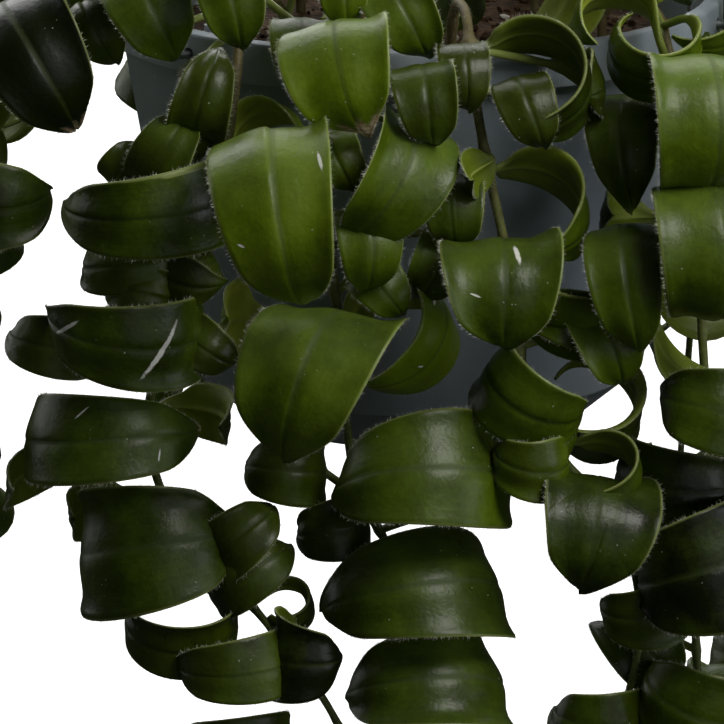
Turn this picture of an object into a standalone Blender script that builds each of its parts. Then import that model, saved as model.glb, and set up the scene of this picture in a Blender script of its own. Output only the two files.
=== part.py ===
"""A hanging pot with a curly-leaved lipstick plant: pot, potting mix, wire hanger and leafy stems.

Metres, +Z up. The origin is the middle of the pot's base, and -Y is the front.
"""

import math
import random

import bmesh
import bpy
from mathutils import Matrix, Vector, noise
from mathutils.bvhtree import BVHTree

MM = 0.001
GAP = 0.3 * MM

# Pot: a tapered shell with a chamfered foot, and a rim folded down into a skirt
RIM_RADIUS = 75.5 * MM
POT_HEIGHT = 105 * MM
SKIRT_DEPTH = 10 * MM
WALL_TOP_RADIUS = 73 * MM
WALL_FOOT_RADIUS = 57.5 * MM
FOOT_HEIGHT = 12.5 * MM
BASE_RADIUS = 43 * MM
WALL = 1.6 * MM
POT_SIDES = 30
DRAIN_HOLES = 6
DRAIN_RADIUS = 4 * MM
DRAIN_CIRCLE = 31 * MM
DRAIN_TURN = 37

# Potting mix, filled to a little below the rim
SOIL_LEVEL = 92 * MM
SOIL_SIDES = 16
SOIL_BUMP = 2.2 * MM
SOIL_ROOM = 0.8 * MM

# Wire hanger: three wires hooked through the rim, a ferrule and a hook above the pot's middle
WIRE_RADIUS = 1 * MM
WIRE_TURNS = (-45, 75, 195)
WIRE_HOLE_DROP = 5 * MM
FERRULE_BASE = 330 * MM
FERRULE_HEIGHT = 18 * MM
FERRULE_RADIUS = 5.5 * MM
SOCKET_DEPTH = 8 * MM
WIRE_CIRCLE = 3 * MM
HOOK_RADIUS = 1.5 * MM
HOOK_BEND = 13 * MM

# Stems and leaves
STEM_RADIUS = 1.3 * MM
STEM_SIDES = 4
ROUTE_STEPS = 12
STEM_ROOT_DEPTH = 18 * MM
PETIOLE_RADIUS = 1.0 * MM
BLADE_THICKNESS = 1.0 * MM
BLADE_CUP = 0.9 * MM
# The blade's outline: its share of the half wave at the foot, how early it is widest, how blunt it
# stays, and from where and by how much it is drawn out into a point
OUTLINE_FOOT = 0.09
OUTLINE_EARLY = 0.75
OUTLINE_BLUNT = 0.5
POINT_FROM = 0.72
POINT_DRAWN = 0.5
FRONT_STATIONS = (0.0, 0.17, 0.4, 0.63, 0.85)
GROWN_STATIONS = (0.0, 0.22, 0.52, 0.82)
CLEAR = 0.85 * MM
# A petiole is at most this long, and its cosine to the blade's first way is at least this much
LONGEST_PETIOLE = 34 * MM
LEAST_FLOW = -0.15
# What a smoother petiole, and a curl turned the other way, are worth in petiole length
FLOW_WORTH = 12 * MM
FLIP_PRICE = 34 * MM
# Grown leaves: radii, widths (mm), sweeps of each half (degrees), how far the tip tightens, shares of
# ringlets and of ringlets with arching bands, and how many changes are tried to find a clear place
GROWN_RADII = (14, 18.5)
GROWN_WIDTHS = (19, 25)
GROWN_SWEEPS = (95, 130)
GROWN_TIGHTEN = (0.65, 0.9)
RINGLET_SHARE = 0.6
BAND_SHARE = 0.82
GROWN_TRIES = 14
# Spacing of leaf pairs: least, and what a full-sized leaf adds (mm)
PAIR_SPACING = (12, 18)
# How far a front leaf may be moved towards the viewer to stand clear, tried in this order (mm)
NEARER = (0, 1.5, -1.5, 3, -3, 4.5, -4.5, 6, -6, 8, -8, 10, -10, 12, 14, 17)
SEED = 11


# Left, centre, right-centre, right and far-left stems as the front shows them: points in millimetres,
# from the soil, over the rim and down. The list was chosen by hand.
FRONT_STEMS = {
    "left": [
        (-28, -44, 98), (-33, -54, 113), (-39, -67, 115), (-41, -79, 103), (-45, -84, 80),
        (-54, -88, 59), (-61, -90, 27), (-62, -90, 9), (-48, -90, -12), (-36, -90, -27),
        (-23, -90, -45), (-15, -88, -62), (-11, -86, -84), (-13, -84, -102),
    ],
    "centre": [
        (-12, -48, 98), (-14, -60, 113), (-17, -74, 115), (-19, -84, 105), (-21, -89, 79),
        (-20, -90, 62), (-18, -90, 45), (-16, -89, 17), (-14, -84, 3), (-7, -77, -12),
        (-3, -76, -32), (-1, -78, -54), (-3, -80, -82), (-2, -82, -112),
    ],
    "right_centre": [
        (8, -48, 98), (9, -60, 113), (11, -75, 114), (12, -84, 104), (14, -87, 92),
        (17, -88, 75), (20, -88, 62), (23, -88, 40), (29, -90, 19), (40, -91, 6),
        (50, -90, -12), (52, -88, -36), (47, -86, -60), (42, -84, -86),
    ],
    "right": [
        (36, -32, 98), (43, -43, 113), (51, -54, 116), (57, -63, 107), (63, -71, 81),
        (66, -75, 46), (68, -77, 10), (66, -78, -26), (68, -79, -56), (72, -78, -88),
        (70, -76, -118),
    ],
    "far_left": [
        (-40, -28, 98), (-53, -38, 112), (-66, -45, 115), (-79, -50, 109), (-92, -54, 102),
        (-103, -57, 91), (-112, -58, 72), (-119, -57, 42), (-121, -55, 4), (-119, -53, -34),
        (-121, -51, -72),
    ],
}

# Curled leaves of the front stems, as the front shows them. Each row: the curl's centre x, y, z; its
# radius; the blade's width (mm); the curl axis' roll to the right and lean towards the viewer; the
# turns where the blade begins and ends, 0 at the front and 90 at the right (degrees); how much the
# curl tightens to its tip; and, where it isn't 0, how far the blade shifts along the axis.
FRONT_LEAVES = {
    "left": [
        (-61, -90, 75, 19.5, 20, -5, 18, 105, -97, 1.00),
        (-67, -92, 46, 17.5, 20, 6, 22, 105, -98, 1.00),
        (-84, -66, 34, 10, 14, 10, 10, 80, -105, 1.00),
        (-70, -86, 17, 20, 21, -2, 3, -112, 92, 0.95),
        (-78, -70, 4, 18, 13, -15, 10, -170, -65, 1.00),
        (-58, -76, 18, 14, 14, 5, 10, 170, 60, 1.00),
        (-60, -88, -9, 17.5, 31, -5, 2, -112, 92, 0.95, 4),
        (-65, -72, -3, 16, 16, 0, 5, -170, -70, 1.00),
        (-54, -82, -27, 14, 16, 0, 28, 110, -120, 0.80),
        (-41, -78, -11, 10, 16, -35, 0, -100, 92, 1.00),
        (-39, -86, -15, 11.5, 17, -25, 0, -100, 92, 1.00),
        (-42, -87, -37, 14.5, 17, -3, 12, 112, -95, 0.95),
        (-27, -84, -35, 9, 22, 14, 10, -150, 100, 0.95),
        (-43, -85, -59, 13, 18, 0, 10, 110, -110, 0.85),
        (-48, -76, 95, 10, 14, 105, 0, 110, -85, 1.00),
        (-57, -76, 83, 10.5, 17, 110, 0, 110, -85, 1.00),
        (-67, -74, 77, 6, 12, 115, 0, 100, -80, 1.00),
        (-66, -78, 57, 11, 14, -8, 10, 70, -130, 0.85),
        (-49, -85, 56, 10, 17, 10, 30, -150, 60, 0.90),
        (-42, -78, 117, 11.5, 17, 80, 0, -110, 80, 0.90),
        (-27, -76, 104, 8.5, 14, 90, 0, -110, 75, 0.90),
        (-30, -90, -24, 5.5, 9, 0, 60, 220, -60, 0.90),
        (-64, -74, 50, 8.5, 14, 8, 10, 105, -100, 0.90),
        (-47, -68, 96, 7, 12, 60, 0, -105, 80, 0.90),
        (-50, -70, 86, 8, 13, 95, 0, -105, 80, 0.90),
        (-51, -72, 50, 7.5, 13, -20, 10, 100, -95, 0.90),
        (-49, -74, 35, 8, 14, 20, 10, -105, 95, 0.90),
    ],
    "centre": [
        (-30, -105, 73, 19.5, 28, 85, 6, -120, 97, 0.95, 6),
        (-15, -96, 103, 13.3, 26, 82, 14, -105, 75, 1.00, 5),
        (-17, -80, 120, 9, 13, 85, 0, -110, 80, 0.90),
        (-10, -92, 79, 15.5, 22, -63, 24, 95, -82, 1.00, 4),
        (-23, -103, 33, 17.5, 33, 104, 14, -118, 82, 1.00, -6),
        (-6, -88, 41, 13.5, 22, -38, 50, 195, -78, 0.95),
        (-36, -76, 41, 9, 19, 8, 0, -160, -60, 1.00),
        (-31, -84, 8, 9, 16, 5, 5, 110, -110, 0.90),
        (-20, -82, -7, 8, 15, -10, 5, 110, -110, 0.90),
        (0, -93, 6, 20, 28, -6, -14, 105, -92, 0.95),
        (-2, -92, -22, 20.4, 28, -8, -14, 110, -90, 0.95),
        (2, -91, -44, 18.7, 26, -6, -10, 110, -92, 0.95),
        (-12, -82, 58, 10, 17, 80, 0, -110, 100, 0.90),
        (8, -80, 68, 8, 15, 85, 0, -110, 90, 0.90),
        (-3, -86, 116, 11, 16, 60, 0, -100, 85, 0.90),
        (-35, -86, 88, 8.5, 14, -30, 50, 250, 60, 0.95),
        (-17, -78, 79, 8, 13, 70, 0, -105, 80, 0.90),
        (1, -76, 56, 9, 15, -70, 10, 90, -85, 0.90),
        (-9, -74, 49, 8, 14, 60, 0, -105, 80, 0.90),
    ],
    "right_centre": [
        (26, -87, 101, 13, 19, 0, 62, 220, -35, 0.90),
        (36, -80, 98, 9, 17, 0, 20, 150, 30, 1.00),
        (26, -88, 71, 13, 20, 15, 50, 215, 20, 0.90),
        (18, -86, 81, 8, 11, -30, 10, -170, -60, 1.00),
        (19, -101, 54, 12.5, 28, 88, 0, -105, 68, 1.00),
        (38, -80, 56, 18, 19, 0, 55, -50, 115, 1.00),
        (28, -91, 29, 12, 19, 25, 30, -120, 110, 0.80),
        (41, -89, 26, 11, 19, 10, 65, -30, 250, 0.85),
        (24, -88, 12, 9, 15, 0, 20, 110, -110, 0.90),
        (44, -78, 35, 10, 17, 60, 0, -110, 90, 0.90),
        (42, -91, 9, 9, 15, 0, 60, 200, -60, 0.90),
        (40, -100, -3, 14, 30, 98, 0, -105, 72, 1.00),
        (40, -100, -3, 14, 30, 98, 0, -105, 72, 1.00),
        (2, -78, 92, 9, 15, 80, 0, -110, 90, 0.90),
        (43, -86, -52, 11, 17, 5, 15, 110, -110, 0.85),
        (11, -76, 98, 8, 13, 80, 0, -105, 85, 0.90),
        (11, -76, 98, 8, 13, 80, 0, -105, 85, 0.90),
        (24, -74, 89, 9, 15, 70, 0, -105, 85, 0.90),
        (27, -76, 18, 9, 15, 15, 10, 100, -95, 0.90),
        (33, -76, 46, 9, 15, 20, 10, 100, -95, 0.90),
    ],
    "right": [
        (43, -71, 109, 10.5, 18, 0, 55, 80, 330, 0.90),
        (54, -78, 108, 10, 17, 0, 60, 110, -150, 0.90),
        (66, -66, 111, 12, 17, 0, 60, 250, -40, 0.90),
        (66, -94, 92, 16.2, 30, 84, -6, -110, 158, 0.95),
        (67, -97, 64, 15.5, 30, 86, -6, -110, 150, 0.95),
        (50, -72, 80, 15, 19, 85, 10, -120, 60, 0.90),
        (53, -74, 66, 10, 15, 0, 0, -175, -50, 1.00),
        (51, -76, 46, 16, 19, 80, 0, -100, 80, 0.90),
        (72, -80, 44, 19, 17, 0, -60, -90, -200, 1.00),
        (69, -80, 22, 14, 21, 10, 5, 115, -105, 0.85),
        (62, -82, 5, 14, 21, 5, 15, -110, 110, 0.85),
        (66, -87, -15, 16, 30, -15, 5, 115, -110, 0.80),
        (53, -82, -25, 10, 17, 0, 35, 120, -110, 0.85),
        (55, -70, -42, 10, 19, 60, 0, -110, 90, 0.90),
        (66, -84, -46, 13, 23, 20, 30, 115, -110, 0.85),
    ],
    "far_left": [
        (-87, -62, 98, 17, 26, 60, 0, -100, 80, 0.90),
        (-98, -62, 69, 12, 22, 0, 20, -110, 93, 1.00),
        (-74, -56, 105, 8, 13, 60, 0, -110, 90, 0.90),
        (-60, -66, 111, 12, 20, 65, 0, -95, 70, 0.90),
    ],
}
# The front stems carry no other leaves between these heights, where the photo shows them
FRONT_TOP = 100 * MM
FRONT_FOOT = -56 * MM

# Stems round the sides and back: the turn from the front, how far out it hangs and the height of its
# free end (mm). Those behind the pot are shorter, as no foliage shows under the pot in the photo.
OTHER_STEMS = {
    "side_right_1": (66, 106, -84), "side_right_2": (89, 110, -76), "side_right_3": (112, 106, -50),
    "back_right_1": (134, 100, -40), "back_right_2": (163, 98, -30), "back_middle": (181, 100, -26),
    "back_left_1": (204, 98, -18), "back_left_2": (222, 96, -18), "side_left_1": (243, 134, -62),
    "side_left_2": (266, 126, -74),
}
# Short shoots that stand up in the crown: the turn from the front, distance from the middle, height
CROWN_SHOOTS = {"crown_1": (20, 14, 50), "crown_2": (150, 20, 44), "crown_3": (258, 20, 46)}

# The picture's own view: its camera looks down by this much, at a point left of the pot's base
PICTURE_TILT = math.radians(16)
PICTURE_AIM = Vector((-12.75 * MM, 0, 9.6 * MM))
PICTURE_DISTANCE = 1.2
PICTURE_PIXELS = 724
PICTURE_WIDTH = 181 * MM
# Places where the background shows between the leaves, as boxes in picture pixels
OPEN_PLACES = (
    (84, 62, 116, 120), (60, 110, 132, 165), (22, 128, 60, 165), (45, 165, 100, 182),
    (55, 185, 66, 240), (22, 215, 66, 300), (0, 245, 80, 300), (0, 300, 17, 400), (0, 375, 60, 395),
    (0, 400, 26, 440), (0, 500, 66, 610), (0, 610, 84, 724), (84, 622, 140, 724), (140, 650, 172, 724),
    (205, 380, 240, 470), (225, 460, 245, 500), (245, 500, 300, 512), (300, 556, 330, 590),
    (505, 482, 530, 545), (508, 540, 556, 724), (556, 605, 600, 700), (600, 640, 636, 690),
    (628, 396, 668, 440), (672, 318, 724, 350), (690, 345, 724, 370),
)
PICTURE_RIGHT = Vector((1, 0, 0))
PICTURE_UP = Vector((0, math.sin(PICTURE_TILT), math.cos(PICTURE_TILT)))
TO_VIEWER = Vector((0, -math.cos(PICTURE_TILT), math.sin(PICTURE_TILT)))


class Curl:
    """A leaf curled round an axis, from where its petiole leaves the stem to its tip."""

    def __init__(self, centre, axis, face, radius, width, begin, end, tighten, drift=0.0,
                 stations=FRONT_STATIONS):
        self.centre = Vector(centre)
        self.axis = axis.normalized()
        self.face = (face - self.axis * face.dot(self.axis)).normalized()
        self.side = self.axis.cross(self.face)
        self.radius, self.width = radius, width
        self.begin, self.end = begin, end
        self.tighten, self.drift = tighten, drift
        self.stations = stations
        self.root = None

    def midrib(self, t):
        """The midrib's point and the direction out of the curl there."""
        turn = math.radians(self.begin + (self.end - self.begin) * t)
        out = self.face * math.cos(turn) + self.side * math.sin(turn)
        reach = self.radius * (1 + (self.tighten - 1) * (t - 0.4))
        return self.centre + out * reach + self.axis * (self.drift * (t - 0.5)), out

    def start_way(self):
        """The way the blade runs where it begins."""
        return (self.midrib(0.05)[0] - self.midrib(0)[0]).normalized()

    def take_root(self, places):
        """Roots the leaf where the petiole is short and runs on into the blade. Returns its cost."""
        base, way = self.midrib(0)[0], self.start_way()

        def cost(place):
            petiole = base - place
            return petiole.length - FLOW_WORTH * petiole.normalized().dot(way)

        self.root = min(places, key=cost)
        return cost(self.root)

    def reach(self):
        return 1.3 * self.radius + 0.6 * self.width + LONGEST_PETIOLE

    def half_width(self, t):
        """Half the blade's width: widest a third along, with a drawn-out point."""
        wave = (OUTLINE_FOOT + (1 - OUTLINE_FOOT) * t) ** OUTLINE_EARLY
        tip = min(max((t - POINT_FROM) / (1 - POINT_FROM), 0), 1)
        drawn = POINT_DRAWN * tip * tip * (3 - 2 * tip)
        return self.width / 2 * math.sin(math.pi * wave) ** OUTLINE_BLUNT * (1 - drawn)

    def sections(self, thickness=BLADE_THICKNESS, spread=0.0):
        """Three-sided sections from the stem to the tip: two margins and the midrib, then the tip."""
        way = (self.midrib(0)[0] - self.root).normalized()
        across = (self.axis - way * self.axis.dot(way)).normalized()
        above = way.cross(across) if self.end > self.begin else across.cross(way)
        arm = PETIOLE_RADIUS
        found = [[self.root - across * arm - above * arm * 0.5,
                  self.root + across * arm - above * arm * 0.5, self.root + above * arm]]
        for t in self.stations:
            point, out = self.midrib(t)
            half = self.half_width(t) + spread
            bend = BLADE_CUP * (2 * half / self.width) ** 2
            under = point - out * (thickness * 0.5 + bend)
            found.append([under - self.axis * half, under + self.axis * half,
                          point + out * thickness * 0.5])
        return found, self.midrib(1)[0]


def leaf_faces(sections):
    """The faces of a chain of three-sided sections that ends in a point, as vertex numbers."""
    last = 3 * len(sections)
    faces = [(0, 1, 2)]
    for k in range(len(sections) - 1):
        low, high = 3 * k, 3 * k + 3
        for i, j in ((0, 1), (1, 2), (2, 0)):
            faces.append((low + i, low + j, high + j, high + i))
    faces += [(last - 3 + i, last - 3 + j, last) for i, j in ((0, 1), (1, 2), (2, 0))]
    return faces


def leaf_tree(leaf, thickness, spread=0.0, blade_only=False):
    sections, tip = leaf.sections(thickness, spread)
    if blade_only:
        sections = sections[1:]
    points = [p for section in sections for p in section] + [tip]
    return BVHTree.FromPolygons(points, leaf_faces(sections))


def smooth_route(points, count):
    """Catmull-Rom points, evenly spread along the route."""
    ends = [points[0] * 2 - points[1]] + list(points) + [points[-1] * 2 - points[-2]]
    fine = []
    for a, b, c, d in zip(ends, ends[1:], ends[2:], ends[3:]):
        for k in range(12):
            u = k / 12
            fine.append(0.5 * (2 * b + (c - a) * u + (2 * a - 5 * b + 4 * c - d) * u * u
                               + (3 * b - a - 3 * c + d) * u**3))
    fine.append(points[-1].copy())
    reach = [0.0]
    for a, b in zip(fine, fine[1:]):
        reach.append(reach[-1] + (b - a).length)
    found, k = [], 0
    for n in range(count):
        want = reach[-1] * n / (count - 1)
        while k < len(fine) - 2 and reach[k + 1] < want:
            k += 1
        share = (want - reach[k]) / max(reach[k + 1] - reach[k], 1e-9)
        found.append(fine[k].lerp(fine[k + 1], min(max(share, 0), 1)))
    return found


class Stem:
    """A stem with its route, the solid tree of its tube and its leaves."""

    def __init__(self, name, points, sides_count):
        self.name = name
        self.points = smooth_route(points, sides_count)
        start = self.points[0]
        self.root = Vector((start.x, start.y, SOIL_LEVEL - STEM_ROOT_DEPTH))
        self.fine = [self.points[k // ROUTE_STEPS].lerp(self.points[k // ROUTE_STEPS + 1],
                                                        k % ROUTE_STEPS / ROUTE_STEPS)
                     for k in range(ROUTE_STEPS * (len(self.points) - 1))] + [self.points[-1]]
        self.length = sum((b - a).length for a, b in zip(self.fine, self.fine[1:]))
        self.leaves = []
        rings = self.rings(STEM_RADIUS + CLEAR)
        sides = STEM_SIDES
        faces = [(sides * k + i, sides * k + (i + 1) % sides,
                  sides * (k + 1) + (i + 1) % sides, sides * (k + 1) + i)
                 for k in range(len(rings) - 1) for i in range(sides)]
        self.tree = BVHTree.FromPolygons([p for ring in rings for p in ring], faces)

    def at(self, share):
        """The route's point and direction at a share of its length."""
        steps = len(self.fine) - 1
        k = min(int(share * steps), steps - 1)
        way = (self.fine[k + 1] - self.fine[k]).normalized()
        return self.fine[k].lerp(self.fine[k + 1], share * steps - k), way

    def rings(self, radius):
        """Rings of points round the route, from the root in the soil to the thin free end."""
        route = [self.root] + self.points
        found = []
        across = Vector((1, 0, 0))
        for k, point in enumerate(route):
            way = (route[min(k + 1, len(route) - 1)] - route[max(k - 1, 0)]).normalized()
            if k < 2:
                way = Vector((0, 0, 1))
            across = (across - way * across.dot(way)).normalized()
            other = way.cross(across)
            slim = radius * (1 - 0.35 * max(0, k / (len(route) - 1) - 0.5) * 2)
            found.append([point + (across * math.cos(a) + other * math.sin(a)) * slim
                          for a in (2 * math.pi * i / STEM_SIDES for i in range(STEM_SIDES))])
        return found


def wall_radius(height):
    """Outer radius of the pot, its skirt left out."""
    if height < FOOT_HEIGHT:
        return BASE_RADIUS + (WALL_FOOT_RADIUS - BASE_RADIUS) * max(height, 0) / FOOT_HEIGHT
    share = (height - FOOT_HEIGHT) / (POT_HEIGHT - FOOT_HEIGHT)
    return WALL_FOOT_RADIUS + (WALL_TOP_RADIUS - WALL_FOOT_RADIUS) * share


def in_pot(point):
    """Whether a point is within the pot or its soil, or right below the base, with some room."""
    reach, room = math.hypot(point.x, point.y), 1.2 * MM
    if point.z > POT_HEIGHT + room or point.z < -35 * MM:
        return False
    if point.z < -room:
        return reach < BASE_RADIUS + 3 * MM
    if reach < WALL_TOP_RADIUS - WALL - room and point.z > SOIL_LEVEL + SOIL_BUMP + room:
        return False
    if point.z > POT_HEIGHT - SKIRT_DEPTH - room:
        return reach < RIM_RADIUS + room
    return reach < wall_radius(point.z) + room


def pot_tree():
    """The pot's skin, to find leaves that cross its wall."""
    profile = pot_profile()
    points = [side_point(360 * k / POT_SIDES, r, z) for k in range(POT_SIDES) for r, z in profile]
    count = len(profile)
    faces = []
    for k in range(POT_SIDES):
        here, there = count * k, count * ((k + 1) % POT_SIDES)
        faces += [(here + i, here + i + 1, there + i + 1, there + i) for i in range(count - 1)]
    return BVHTree.FromPolygons(points, faces)


def picture_place(point):
    """Where a point shows in the picture, in pixels across and down."""
    from_aim = point - PICTURE_AIM
    scale = PICTURE_PIXELS * PICTURE_DISTANCE / PICTURE_WIDTH
    scale /= PICTURE_DISTANCE - from_aim.dot(TO_VIEWER)
    return (PICTURE_PIXELS / 2 + from_aim.dot(PICTURE_RIGHT) * scale,
            PICTURE_PIXELS / 2 - from_aim.dot(PICTURE_UP) * scale)


def in_open_place(point):
    """Whether a point shows where the picture has only background."""
    across, down = picture_place(point)
    return any(a < across < c and b < down < d for a, b, c, d in OPEN_PLACES)


def wire_route(turn):
    """Points of one hanger wire, from its hooked end inside the rim to its socket in the ferrule."""
    out = Vector((math.sin(math.radians(turn)), -math.cos(math.radians(turn)), 0))
    level = POT_HEIGHT - WIRE_HOLE_DROP
    shape = [(-6.5, 6), (-6.5, 2.2), (-5.6, 0.6), (-4, 0), (2.2, 0), (3.6, 0.6), (4.3, 2), (4.3, 10)]
    route = [out * (RIM_RADIUS + r * MM) + Vector((0, 0, level + z * MM)) for r, z in shape]
    top = [(9, -22), (4.2, -8), (3, -2), (3, SOCKET_DEPTH / MM - 0.3)]
    route += [out * (r * MM) + Vector((0, 0, FERRULE_BASE + z * MM)) for r, z in top]
    return route


class Layout:
    """Places every curled leaf clear of the pot, the wires, the stems and the leaves before it."""

    def __init__(self):
        self.draw = random.Random(SEED)
        self.stems = []
        self.placed = []
        self.pot = pot_tree()
        self.wires = []
        for turn in WIRE_TURNS:
            for a, b in zip(wire_route(turn)[6:], wire_route(turn)[7:]):
                side = Vector((2 * MM, 0, 0))
                other = (b - a).cross(side).normalized() * 2 * MM
                ring = [side, other, -side, -other]
                points = [end + r for end in (a, b) for r in ring]
                self.wires.append(BVHTree.FromPolygons(
                    points, [(i, (i + 1) % 4, 4 + (i + 1) % 4, 4 + i) for i in range(4)]))

    def free(self, leaf, stem, fused):
        wide = leaf.sections(BLADE_THICKNESS + 2 * CLEAR, CLEAR)[0]
        if any(in_pot(p) for section in wide[1:] for p in section) or in_pot(leaf.midrib(1)[0]):
            return False
        blade = leaf_tree(leaf, BLADE_THICKNESS + 2 * CLEAR, CLEAR, blade_only=True)
        whole = leaf_tree(leaf, BLADE_THICKNESS + 2 * CLEAR, CLEAR)
        petiole = leaf.midrib(0)[0] - leaf.root
        if petiole.length > LONGEST_PETIOLE or petiole.normalized().dot(leaf.start_way()) < LEAST_FLOW:
            return False
        if blade.ray_cast(leaf.root, petiole, petiole.length - 2.5 * MM)[0]:
            return False
        if self.pot.overlap(whole) or any(wire.overlap(whole) for wire in self.wires):
            return False
        for other in self.stems:
            if other.tree.overlap(blade if other is stem else whole):
                return False
        slim_blade = leaf_tree(leaf, BLADE_THICKNESS, blade_only=True)
        slim_whole = leaf_tree(leaf, BLADE_THICKNESS)
        reach = leaf.reach()
        for its_stem, centre, size, its_blade, its_whole in self.placed:
            if (centre - leaf.centre).length > reach + size:
                continue
            if its_stem is not stem and its_whole.overlap(whole):
                return False
            if its_stem is stem and not fused and (
                    its_blade.overlap(slim_whole) or its_whole.overlap(slim_blade)):
                return False
        return True

    def keep(self, leaf, stem):
        stem.leaves.append(leaf)
        self.placed.append((stem, leaf.centre, leaf.reach(),
                            leaf_tree(leaf, BLADE_THICKNESS, blade_only=True),
                            leaf_tree(leaf, BLADE_THICKNESS)))

    def settle(self, make, tries, stem, hidden=False, fused=None):
        """Keeps the first of some ever larger changes to a leaf that is clear of all else.

        From try number fused on it may cross leaves of its own stem, which are joined with it.
        """
        for step in range(tries):
            leaf = make(step)
            if hidden and any(in_open_place(p) for section in leaf.sections()[0] for p in section):
                continue
            if self.free(leaf, stem, fused is not None and step >= fused):
                self.keep(leaf, stem)
                return step
        return None

    def front_leaf(self, row, stem):
        """A leaf that the front shows. Where it isn't clear it moves nearer or further from the viewer."""
        x, y, z, radius, width, roll, lean, begin, end, tighten, *drift = row
        start = Vector((x, y, z)) * MM
        draw = random.Random(f"{x} {y} {z}")

        def make(step):
            loose = step // len(NEARER)
            near = start + TO_VIEWER * NEARER[step % len(NEARER)] * MM
            near += Vector([draw.uniform(-1, 1) * loose * 1.2 * MM for _ in range(3)])
            spin = math.radians(roll + draw.uniform(-1, 1) * loose * 5)
            tip = math.radians(lean + draw.uniform(-1, 1) * loose * 5)
            up = PICTURE_UP * math.cos(spin) + PICTURE_RIGHT * math.sin(spin)
            size = (1 - 0.04 * loose) * MM
            found = []
            for first, last, price in ((begin, end, 0), (end, begin, FLIP_PRICE)):
                leaf = Curl(near, up * math.cos(tip) + TO_VIEWER * math.sin(tip),
                            TO_VIEWER * math.cos(tip) - up * math.sin(tip),
                            radius * size, width * size, first, last, tighten, sum(drift) * size)
                found.append((leaf.take_root(stem.fine[::2]) + price, first, leaf))
            return min(found, key=lambda each: each[:2])[2]

        return self.settle(make, 4 * len(NEARER), stem, fused=2 * len(NEARER))

    def grown_leaf(self, stem, share, heading, size):
        """A leaf by the growing rule: a ringlet round the stem, an arching band or an open ring."""
        place, way = stem.at(share)
        draw = self.draw
        kind = draw.random()
        hand = draw.choice((-1, 1))
        base = {"radius": draw.uniform(*GROWN_RADII), "width": draw.uniform(*GROWN_WIDTHS),
                "sweep": draw.uniform(*GROWN_SWEEPS), "tighten": draw.uniform(*GROWN_TIGHTEN)}

        def make(step):
            loose = 8 + 3 * step
            angle = math.radians(heading + draw.uniform(-1, 1) * (10 + 9 * step))
            out = stem_side(way, angle)
            across = way.cross(out)
            tilt = Matrix.Rotation(math.radians(draw.uniform(-1, 1) * loose), 3, out)
            tip = Matrix.Rotation(math.radians(draw.uniform(-1, 1) * loose), 3, across)
            scale = size * (1 - 0.025 * step) * MM
            radius, width = base["radius"] * scale, base["width"] * scale
            if kind < RINGLET_SHARE:
                axis, face = tilt @ (tip @ way), out
                centre = place + out * radius * 0.62
                begin, end = -118 * hand, base["sweep"] * hand
            elif kind < BAND_SHARE:
                axis, face = tilt @ across * hand, tip @ out
                centre = place + out * radius * 1.05
                begin, end = -112, base["sweep"]
                if axis.cross(face).z > 0:
                    begin, end = -begin, -end
            else:
                axis, face = tip @ out * hand, tilt @ across
                centre = place + across * radius * 1.05 + out * radius * 0.3
                begin, end = 180 - 40 * hand, 180 - (40 + 1.9 * base["sweep"]) * hand
            leaf = Curl(centre, axis, face, radius, width, begin, end, base["tighten"],
                        draw.uniform(-4, 4) * scale, GROWN_STATIONS)
            leaf.root = place
            return leaf

        return self.settle(make, GROWN_TRIES, stem, hidden=True)


def stem_side(way, angle):
    """A direction square to a stem's way, at an angle round it."""
    flat = Vector((0, 0, 1)) if abs(way.z) < 0.9 else Vector((0, -1, 0))
    first = (flat - way * flat.dot(way)).normalized()
    return first * math.cos(angle) + way.cross(first) * math.sin(angle)


def side_point(turn, reach, height):
    """A point at a turn from the front, a distance from the pot's axis and a height (metres)."""
    angle = math.radians(turn)
    return Vector((math.sin(angle) * reach, -math.cos(angle) * reach, height))


def lay_out():
    """All stems with their leaves, each clear of the rest."""
    layout = Layout()
    front, others, crown = [], [], []
    for name, points in FRONT_STEMS.items():
        front.append(Stem("stem_front_" + name, [Vector(p) * MM for p in points], 15))
    for name, (turn, out, foot) in OTHER_STEMS.items():
        draw = layout.draw
        sway = [draw.uniform(-4, 4) for _ in range(6)]
        inner = 44 + draw.uniform(-6, 4)
        shape = [(inner, 98), (58, 112), (74, 116), ((82 + out) / 2, 112), (out - 3, 92), (out, 58),
                 (out - 1, (50 + foot) / 2), (out - 4, foot)]
        points = []
        for k, (reach, height) in enumerate(shape):
            swing = sway[k - 3] if k > 2 else 0
            points.append(side_point(turn + swing, reach * MM, height * MM))
        others.append(Stem("stem_" + name, points, 13))
    for name, (turn, reach, rise) in CROWN_SHOOTS.items():
        shape = [(reach, 98), (reach + 2, 98 + rise * 0.5), (reach + 7, 98 + rise)]
        points = [side_point(turn, r * MM, h * MM) for r, h in shape]
        crown.append(Stem("stem_" + name, points, 6))
    layout.stems = front + others + crown
    for stem in front:
        for row in FRONT_LEAVES[stem.name.removeprefix("stem_front_")]:
            layout.front_leaf(row, stem)
    for stem in front + others + crown:
        grow(layout, stem)
    return layout


def grow(layout, stem):
    """Opposite pairs of leaves along a stem, smaller near its free end."""
    reach = 12 * MM
    heading = layout.draw.uniform(0, 180)
    while reach < stem.length - 3 * MM:
        share = reach / stem.length
        left = (stem.length - reach) / MM
        size = min(1.0, 0.42 + left / 75)
        place, _ = stem.at(share)
        kept = (stem.name.startswith("stem_front_") and FRONT_FOOT < place.z < FRONT_TOP
                and picture_place(place)[0] > 0)
        if not kept:
            for turn in (0, 180):
                layout.grown_leaf(stem, share, heading + turn, size)
        heading += 90 + layout.draw.uniform(-20, 20)
        reach += (PAIR_SPACING[0] + PAIR_SPACING[1] * size) * MM


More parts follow.
